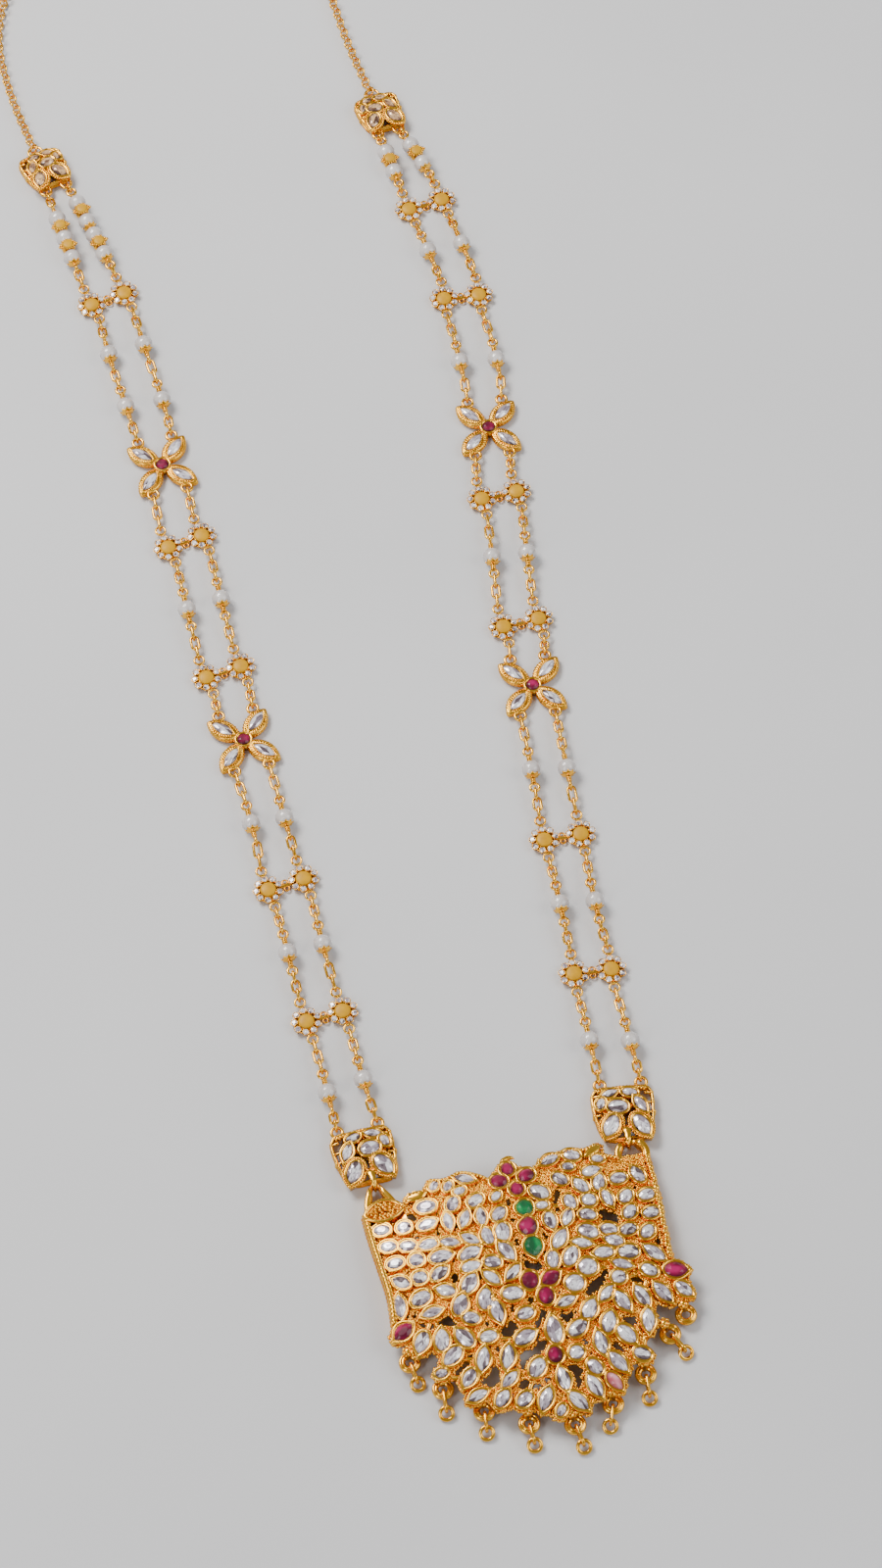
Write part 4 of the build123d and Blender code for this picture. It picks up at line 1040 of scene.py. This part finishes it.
def dress_left_bail(piece):
    path = smooth_path([(-31.0, 22.6, BAIL_Z), (-30.2, 26.0, BAIL_Z), (-28.3, 29.3, BAIL_Z),
                        (-26.3, 26.6, BAIL_Z), (-24.3, 22.9, BAIL_Z)], 8)
    band(piece, path, (-27.8, 25.0), (-28.2, 29.6), 1.0, 1.35)
    boat = smooth_path([(-31.6, 22.2, 3.4), (-29.5, 24.6, 3.2), (-26.4, 25.1, 3.1),
                        (-23.6, 22.9, 3.3), (-25.6, 20.9, 3.7), (-28.8, 20.4, 3.7)], 6, True)
    piece.add(tube(boat, 0.42, 10, True), GOLD)
    centre = sum(boat, Vector()) / len(boat)
    rings = []
    for share, down in ((1.0, 0.0), (0.8, 0.35), (0.5, 0.7), (0.2, 0.85)):
        rings.append(np.array([tuple(centre.lerp(p, share) - Vector((0, 0, down))) for p in boat]))
    bowl = loft(rings + [ring - np.array((0, 0, 0.3)) for ring in reversed(rings)], close=True)
    # the dish takes the darker gold as painted shade
    piece.add(bowl, SHADED_GOLD)
    for k in range(34):
        reach = 0.1 + 0.72 * math.sqrt(k / 34.0)
        p = centre.lerp(boat[int(k * 2.4 / (2 * math.pi) * len(boat)) % len(boat)], reach)
        size = random.uniform(0.32, 0.46)
        piece.add(GRAIN, GOLD, Matrix.Translation(p - Vector((0, 0, 0.55 * (1.2 - reach))))
                  @ Matrix.Scale(size, 4))


def dress_right_bail(piece):
    x, y = RIGHT_BAIL
    path = [Vector((x + RIGHT_BAIL_RADIUS * math.cos(a), y + RIGHT_BAIL_RADIUS * math.sin(a), BAIL_Z))
            for a in np.linspace(math.radians(-25), math.radians(205), 34)]
    band(piece, path, RIGHT_BAIL, (24.74, 27.5), 1.0, 1.5)


EYE_LIP = ((2.1, 0.95), (2.25, 1.2), (2.26, 1.6), (2.14, 1.94), (1.93, 2.08), (1.72, 2.0), (1.6, 1.75),
           (1.6, 1.2))
EYE_THROAT = ((1.75, 1.1), (1.75, 1.7), (1.5, 1.76), (1.2, 1.86), (0.98, 1.72), (0.86, 1.4), (0.98, 1.0),
              (1.5, 0.84))


def dress_eye(piece, x, y, turn):
    """Round collar on the eye's ring, its throat deep orange as painted shade, and a lumpy neck."""
    piece.add(lathe(EYE_LIP, 28, close=True), GOLD, at(x, y))
    # the throat takes the darker gold as painted shade
    piece.add(lathe(EYE_THROAT, 28, close=True), SHADED_GOLD, at(x, y))
    for angle in turns(15):
        piece.add(SPECK, GOLD, at(x + 1.3 * math.cos(angle), y + 1.3 * math.sin(angle), 1.86, 0.0, 0.17))
    back = math.radians(turn)
    foot = Vector((x - NECK_BACK * math.cos(back), y - NECK_BACK * math.sin(back), 0.0))
    top = seat(PENDANT, foot.x, foot.y, 0.0, 1.5).translation
    piece.add(tube([foot + Vector((0, 0, 1.3)), top], 0.95, 14), GOLD)
    for ring in range(2):
        for angle in turns(6, 0.5 * ring):
            lump = top + Vector((0.85 * math.cos(angle), 0.85 * math.sin(angle), 0.1 + 0.55 * ring))
            piece.add(GRAIN, GOLD, Matrix.Translation(lump) @ scaled(0.42, 0.36, 0.4))


def dress_stones(settings):
    for side in ("left", "right"):
        field = Piece("white_stones_" + side)
        for s in settings:
            if s.letter and s.letter != LEAF and (s.x < 0) == (side == "left"):
                place = seat(PENDANT, s.x, s.y, s.turn)
                field.add_stone(s.form, s.long + 0.1, s.wide + 0.1, WHITE, place, 0.4)
        field.make("white_stone", "pendant_stones_" + side)
    for gem in GEMS:
        material = {"ruby": RUBY, "emer": EMERALD, "pink": PINK}[gem.name[:4]]
        stone = Piece("gem_" + gem.name)
        place = seat(PENDANT, gem.x, gem.y, gem.turn)
        stone.add_stone(gem.form, gem.long + 0.1, gem.wide + 0.1, material, place, 0.6)
        kind = "pink_stone" if material is PINK else gem.name.split("_")[0]
        stone.make(kind, gem.name)


# Connectors

def connector_place(side_spots, kind, index):
    spot = side_spots[index]
    return moved(spot.x, spot.y, 0) @ turned(spot.turn, "Z") @ moved(0, -kind.eyes_v, 0)


CUP_BELOW = ((0.7, -1.9), (0.8, -1.6), (0.7, -1.2), (0.3, -1.1))
STONE_PLAY = 0.1


def connector_gems(kind, mirror):
    """The plate's stones at its own size, turned over for the left side."""
    k = kind.scale
    for gem in CONNECTOR_STONES:
        x, turn = (-gem.x, 180.0 - gem.turn) if mirror else (gem.x, gem.turn)
        yield gem._replace(x=x * k, y=gem.y * k, turn=turn, long=gem.long * k, wide=gem.wide * k)


def connector_settings(piece, place, gems, material, near):
    """Rims with stones, thick cups below them, and wires from one to the next."""
    for gem in gems:
        here = place @ seat(CONNECTOR_DOME, gem.x, gem.y, gem.turn)
        piece.add(bezel(gem.form, gem.long, gem.wide), GOLD, here)
        piece.add_stone(gem.form, gem.long + STONE_PLAY, gem.wide + STONE_PLAY, material, here, 0.4)
        cup = [rim(gem.form, gem.long, gem.wide, grow, z) for grow, z in CUP_BELOW]
        # the cups below the stones take the darker gold as painted shade
        piece.add(loft(cup, cap_low=True, cap_high=True), SHADED_GOLD, here)
        if gem.form == "pear":
            edge = [here @ Vector(p) for p in rim(gem.form, gem.long, gem.wide, 0.92, -0.35)]
            twist(piece, edge + edge[:1], 0.16, 0.19, 1.1, 2)
    for i, a in enumerate(gems):
        for b in gems[i + 1:]:
            if math.dist((a.x, a.y), (b.x, b.y)) < near:
                ends = [place @ seat(CONNECTOR_DOME, g.x, g.y, 0.0, 1.0).translation for g in (a, b)]
                piece.add(rod(*ends, 0.42), GOLD)


def connector_frame(piece, place, k):
    """Three rails joined by rungs, with stacked balls at both sides."""
    curve = smooth_path([(u * k, v * k, 0.0) for u, v in CONNECTOR_FRAME[:-1]], 5, True)
    # the lowest rail and, below, the rungs take the darker gold as painted shade
    for z, size, material in ((0.36, 0.34, SHADED_GOLD), (1.1, 0.26, GOLD), (1.75, 0.32, GOLD)):
        line = [place @ Vector((p.x, p.y, z)) for p in curve]
        piece.add(tube(line, size, 10, True), material)
    for point, _ in wavy(curve + curve[:1], 1.25):
        piece.add(tube([place @ (point + Vector((0, 0, z))) for z in (0.4, 1.0, 1.7)], 0.2, 7), SHADED_GOLD)
    for side in (-1, 1):
        for v in (4.6, 2.4, 0.2):
            for z in (0.5, 1.15, 1.8):
                piece.add(GRAIN, GOLD, place @ at(side * 6.15 * k, v * k, z, 0.0, 0.46))
            foot = [Vector((side * 5.9 * k, v * k, 1.6)), Vector((side * 4.9 * k, v * k, 1.9))]
            piece.add(tube([place @ p for p in foot], 0.32, 8), GOLD)
    crest = [place @ Vector((u * k, (6.1 - 0.02 * u * u) * k, 2.25 - 0.012 * u * u))
             for u in np.linspace(-5, 5, 9)]
    twist(piece, crest, 0.22, 0.24, 1.4, 2)


def connector_rings(piece, kind, place):
    """Two eyes for the strings and the one ring at the other end."""
    for u in (-kind.eye_half, kind.eye_half):
        eye = place @ moved(u, kind.eyes_v, EYE_LEVEL)
        piece.add(torus(EYELET + 0.1, WIRE + 0.1, 24, 12), GOLD, eye)
        foot = math.copysign(EYELET + 0.35, -kind.eyes_v)
        piece.add(GRAIN, GOLD, eye @ moved(0, foot, 0) @ scaled(0.85, 0.6, 0.5))
    if kind is LOW:
        piece.add(torus(1.3, 0.35, 26, 12), GOLD, place @ moved(0, LOW_RING_V, 1.9) @ turned(90, "Y"))
        tongue(piece, place)
    else:
        piece.add(torus(1.6, 0.32, 28, 12), GOLD, place @ moved(0, TOP_RING_V, EYE_LEVEL))
        piece.add(tube([place @ Vector((0, v, 1.2)) for v in (3.9, 4.3, 4.6)], 0.55, 10), GOLD)


def dress_connector(name, kind, place, mirror, node):
    """Openwork plate: settings on a railed frame, with rings at both ends."""
    piece = Piece(name)
    material = WHITE if kind is LOW else CHAMPAGNE
    connector_settings(piece, place, list(connector_gems(kind, mirror)), material, 5.6 * kind.scale)
    connector_frame(piece, place, kind.scale)
    connector_rings(piece, kind, place)
    piece.make("gold", node)


TONGUE = ((-2.9, 2.85, 1.25), (-4.0, 3.05, 0.85), (-5.0, 3.3, 0.7), (-5.9, 3.45, 0.6), (-6.6, 3.3, 0.52),
          (-7.2, 2.9, 0.45))
TONGUE_SECTION = ((-1.0, -0.1), (-0.9, 0.05), (0.0, 0.12), (0.9, 0.05), (1.0, -0.1), (0.85, -0.2),
                  (-0.85, -0.2))


def tongue(piece, place):
    """Tapered strip from the plate's middle down over its lower ring."""
    rings = []
    for v, z, wide in TONGUE:
        rings.append(np.array([tuple(place @ Vector((wide * u, v, z + w))) for u, w in TONGUE_SECTION]))
    piece.add(loft(rings, cap_low=True, cap_high=True), GOLD)


# Daisies and butterflies

DAISY_SEAT = ((1.5, 0.1), (1.85, 0.3), (1.9, 0.85), (1.7, 0.98), (0.6, 1.02))
DAISY_BOSS = ((1.66, 0.95), (1.72, 1.2), (1.68, 1.36), (1.52, 1.5), (1.2, 1.62), (0.75, 1.7), (0.25, 1.73))
DAISY_CUP = ((0.55, 0.3), (0.62, 0.4), (0.7, 0.9), (0.78, 1.22), (0.76, 1.34), (0.68, 1.36), (0.6, 1.2),
             (0.5, 0.9))


def daisy_shape(piece, place, gap):
    """Two rosettes on a bar: enamel boss, nine claw-set brilliants, eyes at both ends."""
    for middle in (-gap / 2, gap / 2):
        here = place @ moved(middle, 0, 0)
        piece.add(lathe(DAISY_SEAT, 28), GOLD, here)
        # the ring round the seat takes the darker gold as painted shade
        piece.add(torus(2.45, 0.22, 30, 8), SHADED_GOLD, here @ moved(0, 0, 0.34))
        piece.add(lathe(DAISY_BOSS, 30), ENAMEL, here)
        for k in range(DAISY_CUPS):
            angle = 90.0 + 360.0 * k / DAISY_CUPS
            cup = here @ turned(angle, "Z") @ moved(CUP_CIRCLE, 0, 0) @ turned(9.0, "Y")
            piece.add(lathe(DAISY_CUP, 16), GOLD, cup)
            piece.add_stone("oval", 1.34, 1.34, WHITE, cup @ moved(0, 0, 1.3), 0.24)
            for claw in range(4):
                turn = math.radians(45 + 90 * claw)
                tip = cup @ moved(0.62 * math.cos(turn), 0.62 * math.sin(turn), 1.36)
                piece.add(SPECK, GOLD, tip @ Matrix.Scale(0.15, 4))
        for end in (-1, 1):
            piece.add(torus(EYELET, WIRE, 22, 10), GOLD, here @ moved(0, end * DAISY_EYE, EYE_LEVEL))
            stem = [Vector((0, end * 2.6, 0.8)), Vector((0, end * 3.2, 1.0)), Vector((0, end * 3.5, 1.25))]
            piece.add(tube([here @ p for p in stem], 0.36, 10), GOLD)
    half = gap / 2 - 2.6
    piece.add(tube([place @ Vector((u, 0, 0.62)) for u in (-half, 0, half)], 0.38, 10), GOLD)
    # the small rings on the bar take the darker gold as painted shade
    for v in (-0.75, 0.75):
        piece.add(torus(0.55, 0.2, 16, 8), SHADED_GOLD, place @ moved(0, v, 0.5))


def butterfly_shape(piece, place):
    """Four rope-edged leaves with marquise stones round a ruby cup."""
    middle = PETAL_REACH / math.sqrt(2)
    for turn in (45, 135, 225, 315):
        x = middle * math.copysign(1, math.cos(math.radians(turn)))
        y = middle * math.copysign(1, math.sin(math.radians(turn)))
        here = place @ at(x, y, 0.0, turn)
        edge = rim(PETAL.form, PETAL.long, PETAL.wide, 0.0, 0.0, 40)
        # the lowest edge wire takes the darker gold as painted shade
        for z, size, material in ((0.45, 0.34, SHADED_GOLD), (0.95, 0.36, GOLD), (1.35, 0.32, GOLD)):
            piece.add(tube([here @ Vector(p) + Vector((0, 0, z)) for p in edge], size, 8, True), material)
        for k in range(34):
            c, s = shape_angle(PETAL.form, 2.0 * math.pi * (k + 0.5) / 34)
            start = Vector((PETAL.long * 0.54 * c, PETAL.wide * 0.59 * s, 1.0))
            crest = Vector((PETAL.long * 0.47 * c, PETAL.wide * 0.48 * s, 1.62))
            end = Vector((PETAL.long * 0.33 * c + 0.35, PETAL.wide * 0.3 * s, 1.5))
            piece.add(tube([here @ start, here @ crest, here @ end], 0.25, 6), GOLD)
        stone = here @ moved(0.35, 0, PETAL_TOP + 0.1)
        form, long, wide = PETAL_STONE
        piece.add(bezel(form, long, wide, 0.14, 1.5, 28, 0.34), GOLD, stone)
        piece.add_stone(form, long + 0.05, wide + 0.05, WHITE, stone, 0.35)
        for u in (-2.6, -1.9):
            bridge = [here @ Vector((u, v, 0.9)) for v in (-1.0, 0.0, 1.0)]
            piece.add(tube(bridge, 0.22, 8), GOLD)
    piece.add(bezel(*HEART, 0.14, 1.8), GOLD, place @ moved(0, 0, HEART_TOP))
    piece.add(lathe([(1.2, 0.0), (1.5, 0.3), (1.55, 1.2), (1.3, 1.4)], 24), GOLD, place)
    piece.add_stone(HEART.form, HEART.long + 0.1, HEART.wide + 0.1, RUBY, place @ moved(0, 0, HEART_TOP), 0.4)
    for u in (-BUTTERFLY_EYE_U, BUTTERFLY_EYE_U):
        for v in (-BUTTERFLY_EYE_V, BUTTERFLY_EYE_V):
            piece.add(torus(EYELET + 0.08, 0.34, 22, 10), GOLD, place @ moved(u, v, EYE_LEVEL))
            stem = [Vector((u * 0.92, v * 0.7, 0.8)), Vector((u * 0.97, v - math.copysign(1.0, v), 1.1))]
            piece.add(tube([place @ p for p in stem], 0.5, 10), GOLD)


# Strings

def walk(start, route, distance):
    x, y, heading = start
    left = distance
    for leg in route:
        run = min(left, leg.length)
        now = heading + (leg.heading - heading) * run / leg.length
        middle = math.radians((heading + now) / 2)
        x += run * math.sin(middle)
        y += run * math.cos(middle)
        heading = now
        left -= run
        if left <= 0:
            break
    return x, y, heading


Spot = namedtuple("Spot", "station x y turn")


def spots(start, route, side):
    found = []
    for station in side:
        x, y, heading = walk(start, route, station.at)
        found.append(Spot(station, x, y, station.turn - heading))
    return found


def local_point(spot, u, v, z):
    c = math.cos(math.radians(spot.turn))
    s = math.sin(math.radians(spot.turn))
    return Vector((spot.x + c * u - s * v, spot.y + s * u + c * v, z))


def bead_centres(count, spacers):
    pearls = []
    between = []
    place = 0.0
    for k in range(count):
        if k > 0:
            place += PEARL_RADIUS + BEAD_STEP_GAP
            if spacers[k - 1]:
                between.append(place + SPACER_LENGTH / 2)
                place += SPACER_LENGTH + BEAD_STEP_GAP
            place += PEARL_RADIUS
        pearls.append(place)
    middle = place / 2
    return [p - middle for p in pearls], [b - middle for b in between]


def string_beads(spot, half):
    count = spot.station.left if half < 0 else spot.station.right
    centre = local_point(spot, half * spot.station.gap / 2, 0, PEARL_LEVEL)
    return centre, count


def reach_of(count):
    pearls, _ = bead_centres(count, SPACED[count])
    room = CAP_ROOM if count == 1 else CAP_ROOM / 3
    return pearls[-1] + PEARL_RADIUS + room + PIN_LOOP


def anchors(spot, half):
    kind = spot.station.kind
    u = half * spot.station.gap / 2
    if kind == "low":
        return [local_point(spot, half * LOW.eye_half, 0, EYE_LEVEL)] * 2
    if kind == "top":
        return [local_point(spot, half * TOP.eye_half, 0, EYE_LEVEL)] * 2
    if kind == "daisy":
        return [local_point(spot, u, v, EYE_LEVEL) for v in (-DAISY_EYE, DAISY_EYE)]
    if kind == "butterfly":
        u = half * BUTTERFLY_EYE_U
        return [local_point(spot, u, v, EYE_LEVEL) for v in (-BUTTERFLY_EYE_V, BUTTERFLY_EYE_V)]
    centre, _ = string_beads(spot, half)
    return [centre, centre]


def link_shape(half_length, half_width, wire, sides=8):
    straight = max(half_length - half_width, 0.0)
    width = min(half_width, half_length)
    path = []
    for k in range(26):
        angle = 2.0 * math.pi * k / 26
        shift = math.copysign(straight, math.cos(angle)) if straight > 0.03 else 0.0
        path.append((shift + width * math.cos(angle), width * math.sin(angle), 0.0))
    return tube(path, wire, sides, True)


def pin_shape(piece, centre, way, count, flats):
    """Pin through the beads: a wrapped neck and an open loop at each end."""
    reach = reach_of(count)
    frame_here = along_x(centre, way)
    long = reach - PIN_LOOP
    piece.add(tube([frame_here @ Vector((u, 0, 0)) for u in (-long, 0, long)], PIN, 8), GOLD)
    for end, flat in zip((-1, 1), flats):
        loop = frame_here @ moved(end * reach, 0, 0)
        if not flat:
            loop = loop @ turned(90, "X")
        piece.add(torus(PIN_LOOP, FULL_WIRE, 22, 10), GOLD, loop)
        wraps = 3 if count == 1 else 1
        for k in range(wraps):
            u = end * (reach - PIN_LOOP - 0.32 - 0.36 * k)
            turn = frame_here @ moved(u, 0, 0) @ turned(90 + 6 * end, "Y")
            piece.add(torus(0.42, 0.18, 14, 7), GOLD, turn)


def link_plan(distance, fixed):
    step = 2 * WIRE + LINK_GAP
    for count in (1, 2, 3, 4, 5):
        if fixed and count % 2 == 0:
            continue
        half = (distance + (count + 1) * step) / (2 * count)
        if half <= LONGEST_LINK:
            return count, half
    raise ValueError("loops too far apart")


def link_run(piece, start, end, count, half, first_flat):
    along = (end - start).normalized()
    level = Vector((-along.y, along.x, 0)).normalized()
    step = 2 * WIRE + LINK_GAP
    width = min(LINK_HALF_WIDTH, half)
    place = half - step
    flat = not first_flat
    for _ in range(count):
        out = along.cross(level) if flat else level
        piece.add(link_shape(half, width, FULL_WIRE), GOLD, along_x(start + along * place, along, out))
        place += 2 * half - step
        flat = not flat


def cap_shape():
    """Scalloped cup that hugs a pearl's end, its opening towards the pearl."""
    rings = []
    for share in np.linspace(0.2, 1.0, 6):
        ring = []
        for k in range(32):
            wave = 1.0 + 0.14 * (share ** 3) * math.cos(8 * 2 * math.pi * k / 32)
            polar = math.radians(44.0 * share * wave)
            ring.append((2.1 * math.sin(polar) * math.cos(2 * math.pi * k / 32),
                         2.1 * math.sin(polar) * math.sin(2 * math.pi * k / 32), 2.1 * math.cos(polar)))
        rings.append(np.array(ring))
    inner = [r * (2.0 / 2.1) for r in reversed(rings)]
    verts, faces = loft(rings + inner, close=True)
    return verts, [tuple(reversed(f)) for f in faces]


CAP = cap_shape()


def pearl_shape():
    rows = [(PEARL_RADIUS * math.cos(math.radians(a)), PEARL_RADIUS * math.sin(math.radians(a)))
            for a in (-80, -68, -55, -42, -28, -14, 0, 14, 28, 42, 55, 68, 80)]
    return lathe(rows, 28)


PEARL_MESH = pearl_shape()


def dress_pearl(piece, caps, frame_here, place):
    """A bead, its lower end in a cap of granules."""
    lying = frame_here @ moved(place, 0, 0) @ turned(90, "Y")
    piece.add(PEARL_MESH, PEARL, lying)
    for end in (1, -1):
        facing = lying if end > 0 else lying @ turned(180, "X")
        if end > 0:
            caps.add(torus(0.5, 0.16, 14, 7), GOLD, facing @ moved(0, 0, 2.05))
            continue
        caps.add(CAP, GOLD, facing)
        for k in range(8):
            angle = 2 * math.pi * k / 8
            polar = math.radians(48)
            across = 2.08 * math.sin(polar)
            tip = moved(across * math.cos(angle), across * math.sin(angle), 2.08 * math.cos(polar))
            caps.add(SPECK, GOLD, facing @ tip @ Matrix.Scale(0.18, 4))
        caps.add(torus(0.5, 0.16, 14, 7), GOLD, facing @ moved(0, 0, 2.05))


def dress_spacer(piece, frame_here, place):
    lying = frame_here @ moved(place, 0, 0) @ turned(90, "Y")
    half = SPACER_LENGTH / 2
    piece.add(lathe([(0.5, -half), (1.2, -half * 0.95), (1.48, -half * 0.6), (1.52, 0), (1.48, half * 0.6),
                     (1.2, half * 0.95), (0.5, half)], 26), GOLD, lying)
    face = frame_here @ moved(place, 0, 0)
    piece.add(lathe([(1.22, 1.25), (1.28, 1.6), (1.2, 1.8), (0.9, 1.92), (0.4, 1.97)], 26), ENAMEL, face)
    for k in range(16):
        angle = 2 * math.pi * k / 16
        piece.add(SPECK, GOLD, face @ moved(1.32 * math.cos(angle), 1.42 * math.sin(angle), 1.5)
                  @ Matrix.Scale(0.24, 4))
    for side in (-1, 1):
        for u, v, z in ((0.0, 1.95, 1.1), (0.3, 1.6, 1.2), (-0.3, 1.6, 1.2), (0.0, 1.55, 0.7)):
            piece.add(GRAIN, GOLD, face @ moved(u, side * v, z) @ Matrix.Scale(0.3, 4))


def dress_string(name, hand, side_spots, half, spacer_piece):
    ends = [anchors(spot, half) for spot in side_spots]
    along = {}
    centres = {}
    for i, spot in enumerate(side_spots):
        if spot.station.left:
            axis = ends[i + 1][0] - ends[i - 1][1]
            along[i] = Vector((axis.x, axis.y, 0)).normalized()
            centre, count = string_beads(spot, half)
            if spot.station.kind == "group":
                centre = (ends[i + 1][0] + ends[i - 1][1]) / 2
                centre.z = PEARL_LEVEL
            centres[i] = centre
            reach = along[i] * reach_of(count)
            ends[i] = [centre - reach, centre + reach]
    flats = {i: [True, True] for i in range(len(side_spots))}
    links = Piece(f"strand_links_{name}_{hand}")
    pearls = Piece(f"strand_pearls_{name}_{hand}")
    caps = Piece(f"pearl_caps_{name}_{hand}")
    for i in range(len(side_spots) - 1):
        way = ends[i + 1][0] - ends[i][1]
        way = Vector((way.x, way.y, 0)).normalized()
        start = ends[i][1] + (along[i] * PIN_LOOP if i in along else way * EYELET)
        end = ends[i + 1][0] - (along[i + 1] * PIN_LOOP if i + 1 in along else way * EYELET)
        fixed = i not in along and i + 1 not in along
        count, span = link_plan((end - start).length, fixed)
        if count % 2 == 0:
            if i + 1 in along:
                flats[i + 1][0] = False
            else:
                flats[i][1] = False
        link_run(links, start, end, count, span, flats[i][1])
    for i, direction in along.items():
        _, count = string_beads(side_spots[i], half)
        pin_shape(links, centres[i], direction, count, flats[i])
        frame_here = along_x(centres[i], direction)
        balls, discs = bead_centres(count, SPACED[count])
        for place in balls:
            dress_pearl(pearls, caps, frame_here, place)
        for place in discs:
            dress_spacer(spacer_piece, frame_here, place)
    links.make("gold", f"links_{name}_{hand}")
    pearls.make("pearl", f"pearls_{name}_{hand}")
    caps.make("gold")


# Back chain, clasp and drops

def route_points(points, step):
    """Even steps along a smooth curve held by the route's points."""
    curve = bpy.data.curves.new("route", "CURVE")
    curve.dimensions = "3D"
    spline = curve.splines.new("NURBS")
    spline.points.add(len(points) - 1)
    for slot, point in zip(spline.points, points):
        slot.co = (*point, 1.0)
    spline.order_u = 3
    spline.use_endpoint_u = True
    spline.resolution_u = 24
    holder = bpy.data.objects.new("route", curve)
    mesh = bpy.data.meshes.new_from_object(holder)
    line = [v.co.copy() for v in mesh.vertices]
    bpy.data.objects.remove(holder)
    bpy.data.curves.remove(curve)
    bpy.data.meshes.remove(mesh)
    total = sum((b - a).length for a, b in zip(line, line[1:]))
    count = round(total / step)
    return [(p, w) for p, w in wavy(line, total / count * 0.9999)]


def dress_chain(name, points, low, high):
    """Round cable links, each a quarter turn from the last."""
    piece = Piece("chain_" + name)
    ring = torus(1.02, 0.21, 20, 8)
    path = [(*low, 1.3)] + [(x, y, 1.1) for x, y in points] + [(*high, 1.2)]
    for k, (point, way) in enumerate(route_points(path, 1.53)):
        out = Vector((0, 0, 1))
        lean = turned(45 if k % 2 else -45, way)
        piece.add(ring, GOLD, along_x(point, way, lean @ out))
    piece.make("gold", "back_chain_" + name)


def dress_clasp():
    piece = Piece("clasp_ring")
    x, y = CLASP
    piece.add(torus(CLASP_RADIUS, CLASP_WIRE, 40, 14), GOLD, at(x, y, CHAIN_RADIUS))
    for side in (-1, 1):
        piece.add(torus(0.85, 0.26, 20, 8), GOLD, at(x + side * 4.45, y - 0.15, CHAIN_RADIUS))
    piece.make("gold", "clasp")


def dress_drops():
    for number, drop in enumerate(DROPS, 1):
        piece = Piece(f"ring_below_{number}")
        place = (moved(drop.ring_x, drop.ring_y, RING_Z)
                 @ turned(drop_turn(drop), "Z")
                 @ turned(RING_TILT, "Y"))
        piece.add(torus(RING_RADIUS, RING_WIRE, 30, 12), GOLD, place)
        piece.make("gold", f"drop_ring_{number}")
    piece = Piece("links_below")
    for drop in DROPS:
        turn = math.radians(drop_turn(drop))
        run = math.dist((drop.x, drop.y), (drop.ring_x, drop.ring_y))
        inner = EYE_RADIUS - EYE_WIRE - DROP_WIRE - LINK_GAP
        tilt = math.radians(RING_TILT)
        outer = run - RING_RADIUS * math.cos(tilt) + RING_WIRE + DROP_WIRE + LINK_GAP
        middle = (inner + outer) / 2
        level = (EYE_Z + RING_Z + RING_RADIUS * math.sin(tilt)) / 2
        place = (moved(drop.x + middle * math.cos(turn), drop.y + middle * math.sin(turn), level)
                 @ Matrix.Rotation(turn, 4, "Z") @ turned(90, "X"))
        piece.add(link_shape((outer - inner) / 2, DROP_HALF_WIDTH, DROP_WIRE), GOLD, place)
    piece.make("gold", "drop_links")


# The whole

def dress_sides():
    spacer_piece = Piece("enamel_spacers")
    for name, start, route, side in (("left", LEFT_START, LEFT_ROUTE, LEFT_SIDE),
                                     ("right", RIGHT_START, RIGHT_ROUTE, RIGHT_SIDE)):
        side_spots = spots(start, route, side)
        mirror = name == "left"
        for word, kind, index in (("low", LOW, 0), ("top", TOP, -1)):
            dress_connector(f"{word}_openwork_{name}", kind, connector_place(side_spots, kind, index), mirror,
                            f"{word}_connector_{name}")
        counts = {"daisy": 0, "butterfly": 0}
        for spot in side_spots:
            kind = spot.station.kind
            if kind not in counts:
                continue
            counts[kind] += 1
            place = moved(spot.x, spot.y, 0) @ turned(spot.turn, "Z")
            number = counts[kind]
            if kind == "daisy":
                piece = Piece(f"daisies_{name}_{number}")
                daisy_shape(piece, place, spot.station.gap)
                piece.make("gold", f"daisy_pair_{name}_{number}")
            else:
                piece = Piece(f"leaf_link_{name}_{number}")
                butterfly_shape(piece, place)
                piece.make("gold", f"butterfly_{name}_{number}")
        for half, hand in ((-1, "outer"), (1, "inner")):
            if name == "right":
                half = -half
            dress_string(name, hand, side_spots, half, spacer_piece)
    spacer_piece.make("enamel", "spacers")


def dress_frame():
    """Material for the solid that stays in sight."""
    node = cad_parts["pendant_plate"]
    node.data.materials.clear()
    node.data.materials.append(GOLD)


def make_floor():
    bpy.ops.mesh.primitive_plane_add(size=6.0, location=(0.0, 0.0, -0.0001))
    floor = bpy.context.object
    floor.name = "floor"
    floor.data.materials.append(floor_material())
    world = bpy.data.worlds.new("studio")
    bpy.context.scene.world = world
    world.use_nodes = True
    world.node_tree.nodes["Background"].inputs["Color"].default_value = (0.9, 0.92, 0.95, 1)
    world.node_tree.nodes["Background"].inputs["Strength"].default_value = 0.36


dress_frame()
dress_pendant()
dress_sides()
dress_chain("left", LEFT_CHAIN, (-47.75, 304.0), (-12.9, 370.8))
dress_chain("right", RIGHT_CHAIN, (31.15, 303.0), (-5.9, 370.8))
dress_clasp()
dress_drops()
make_floor()
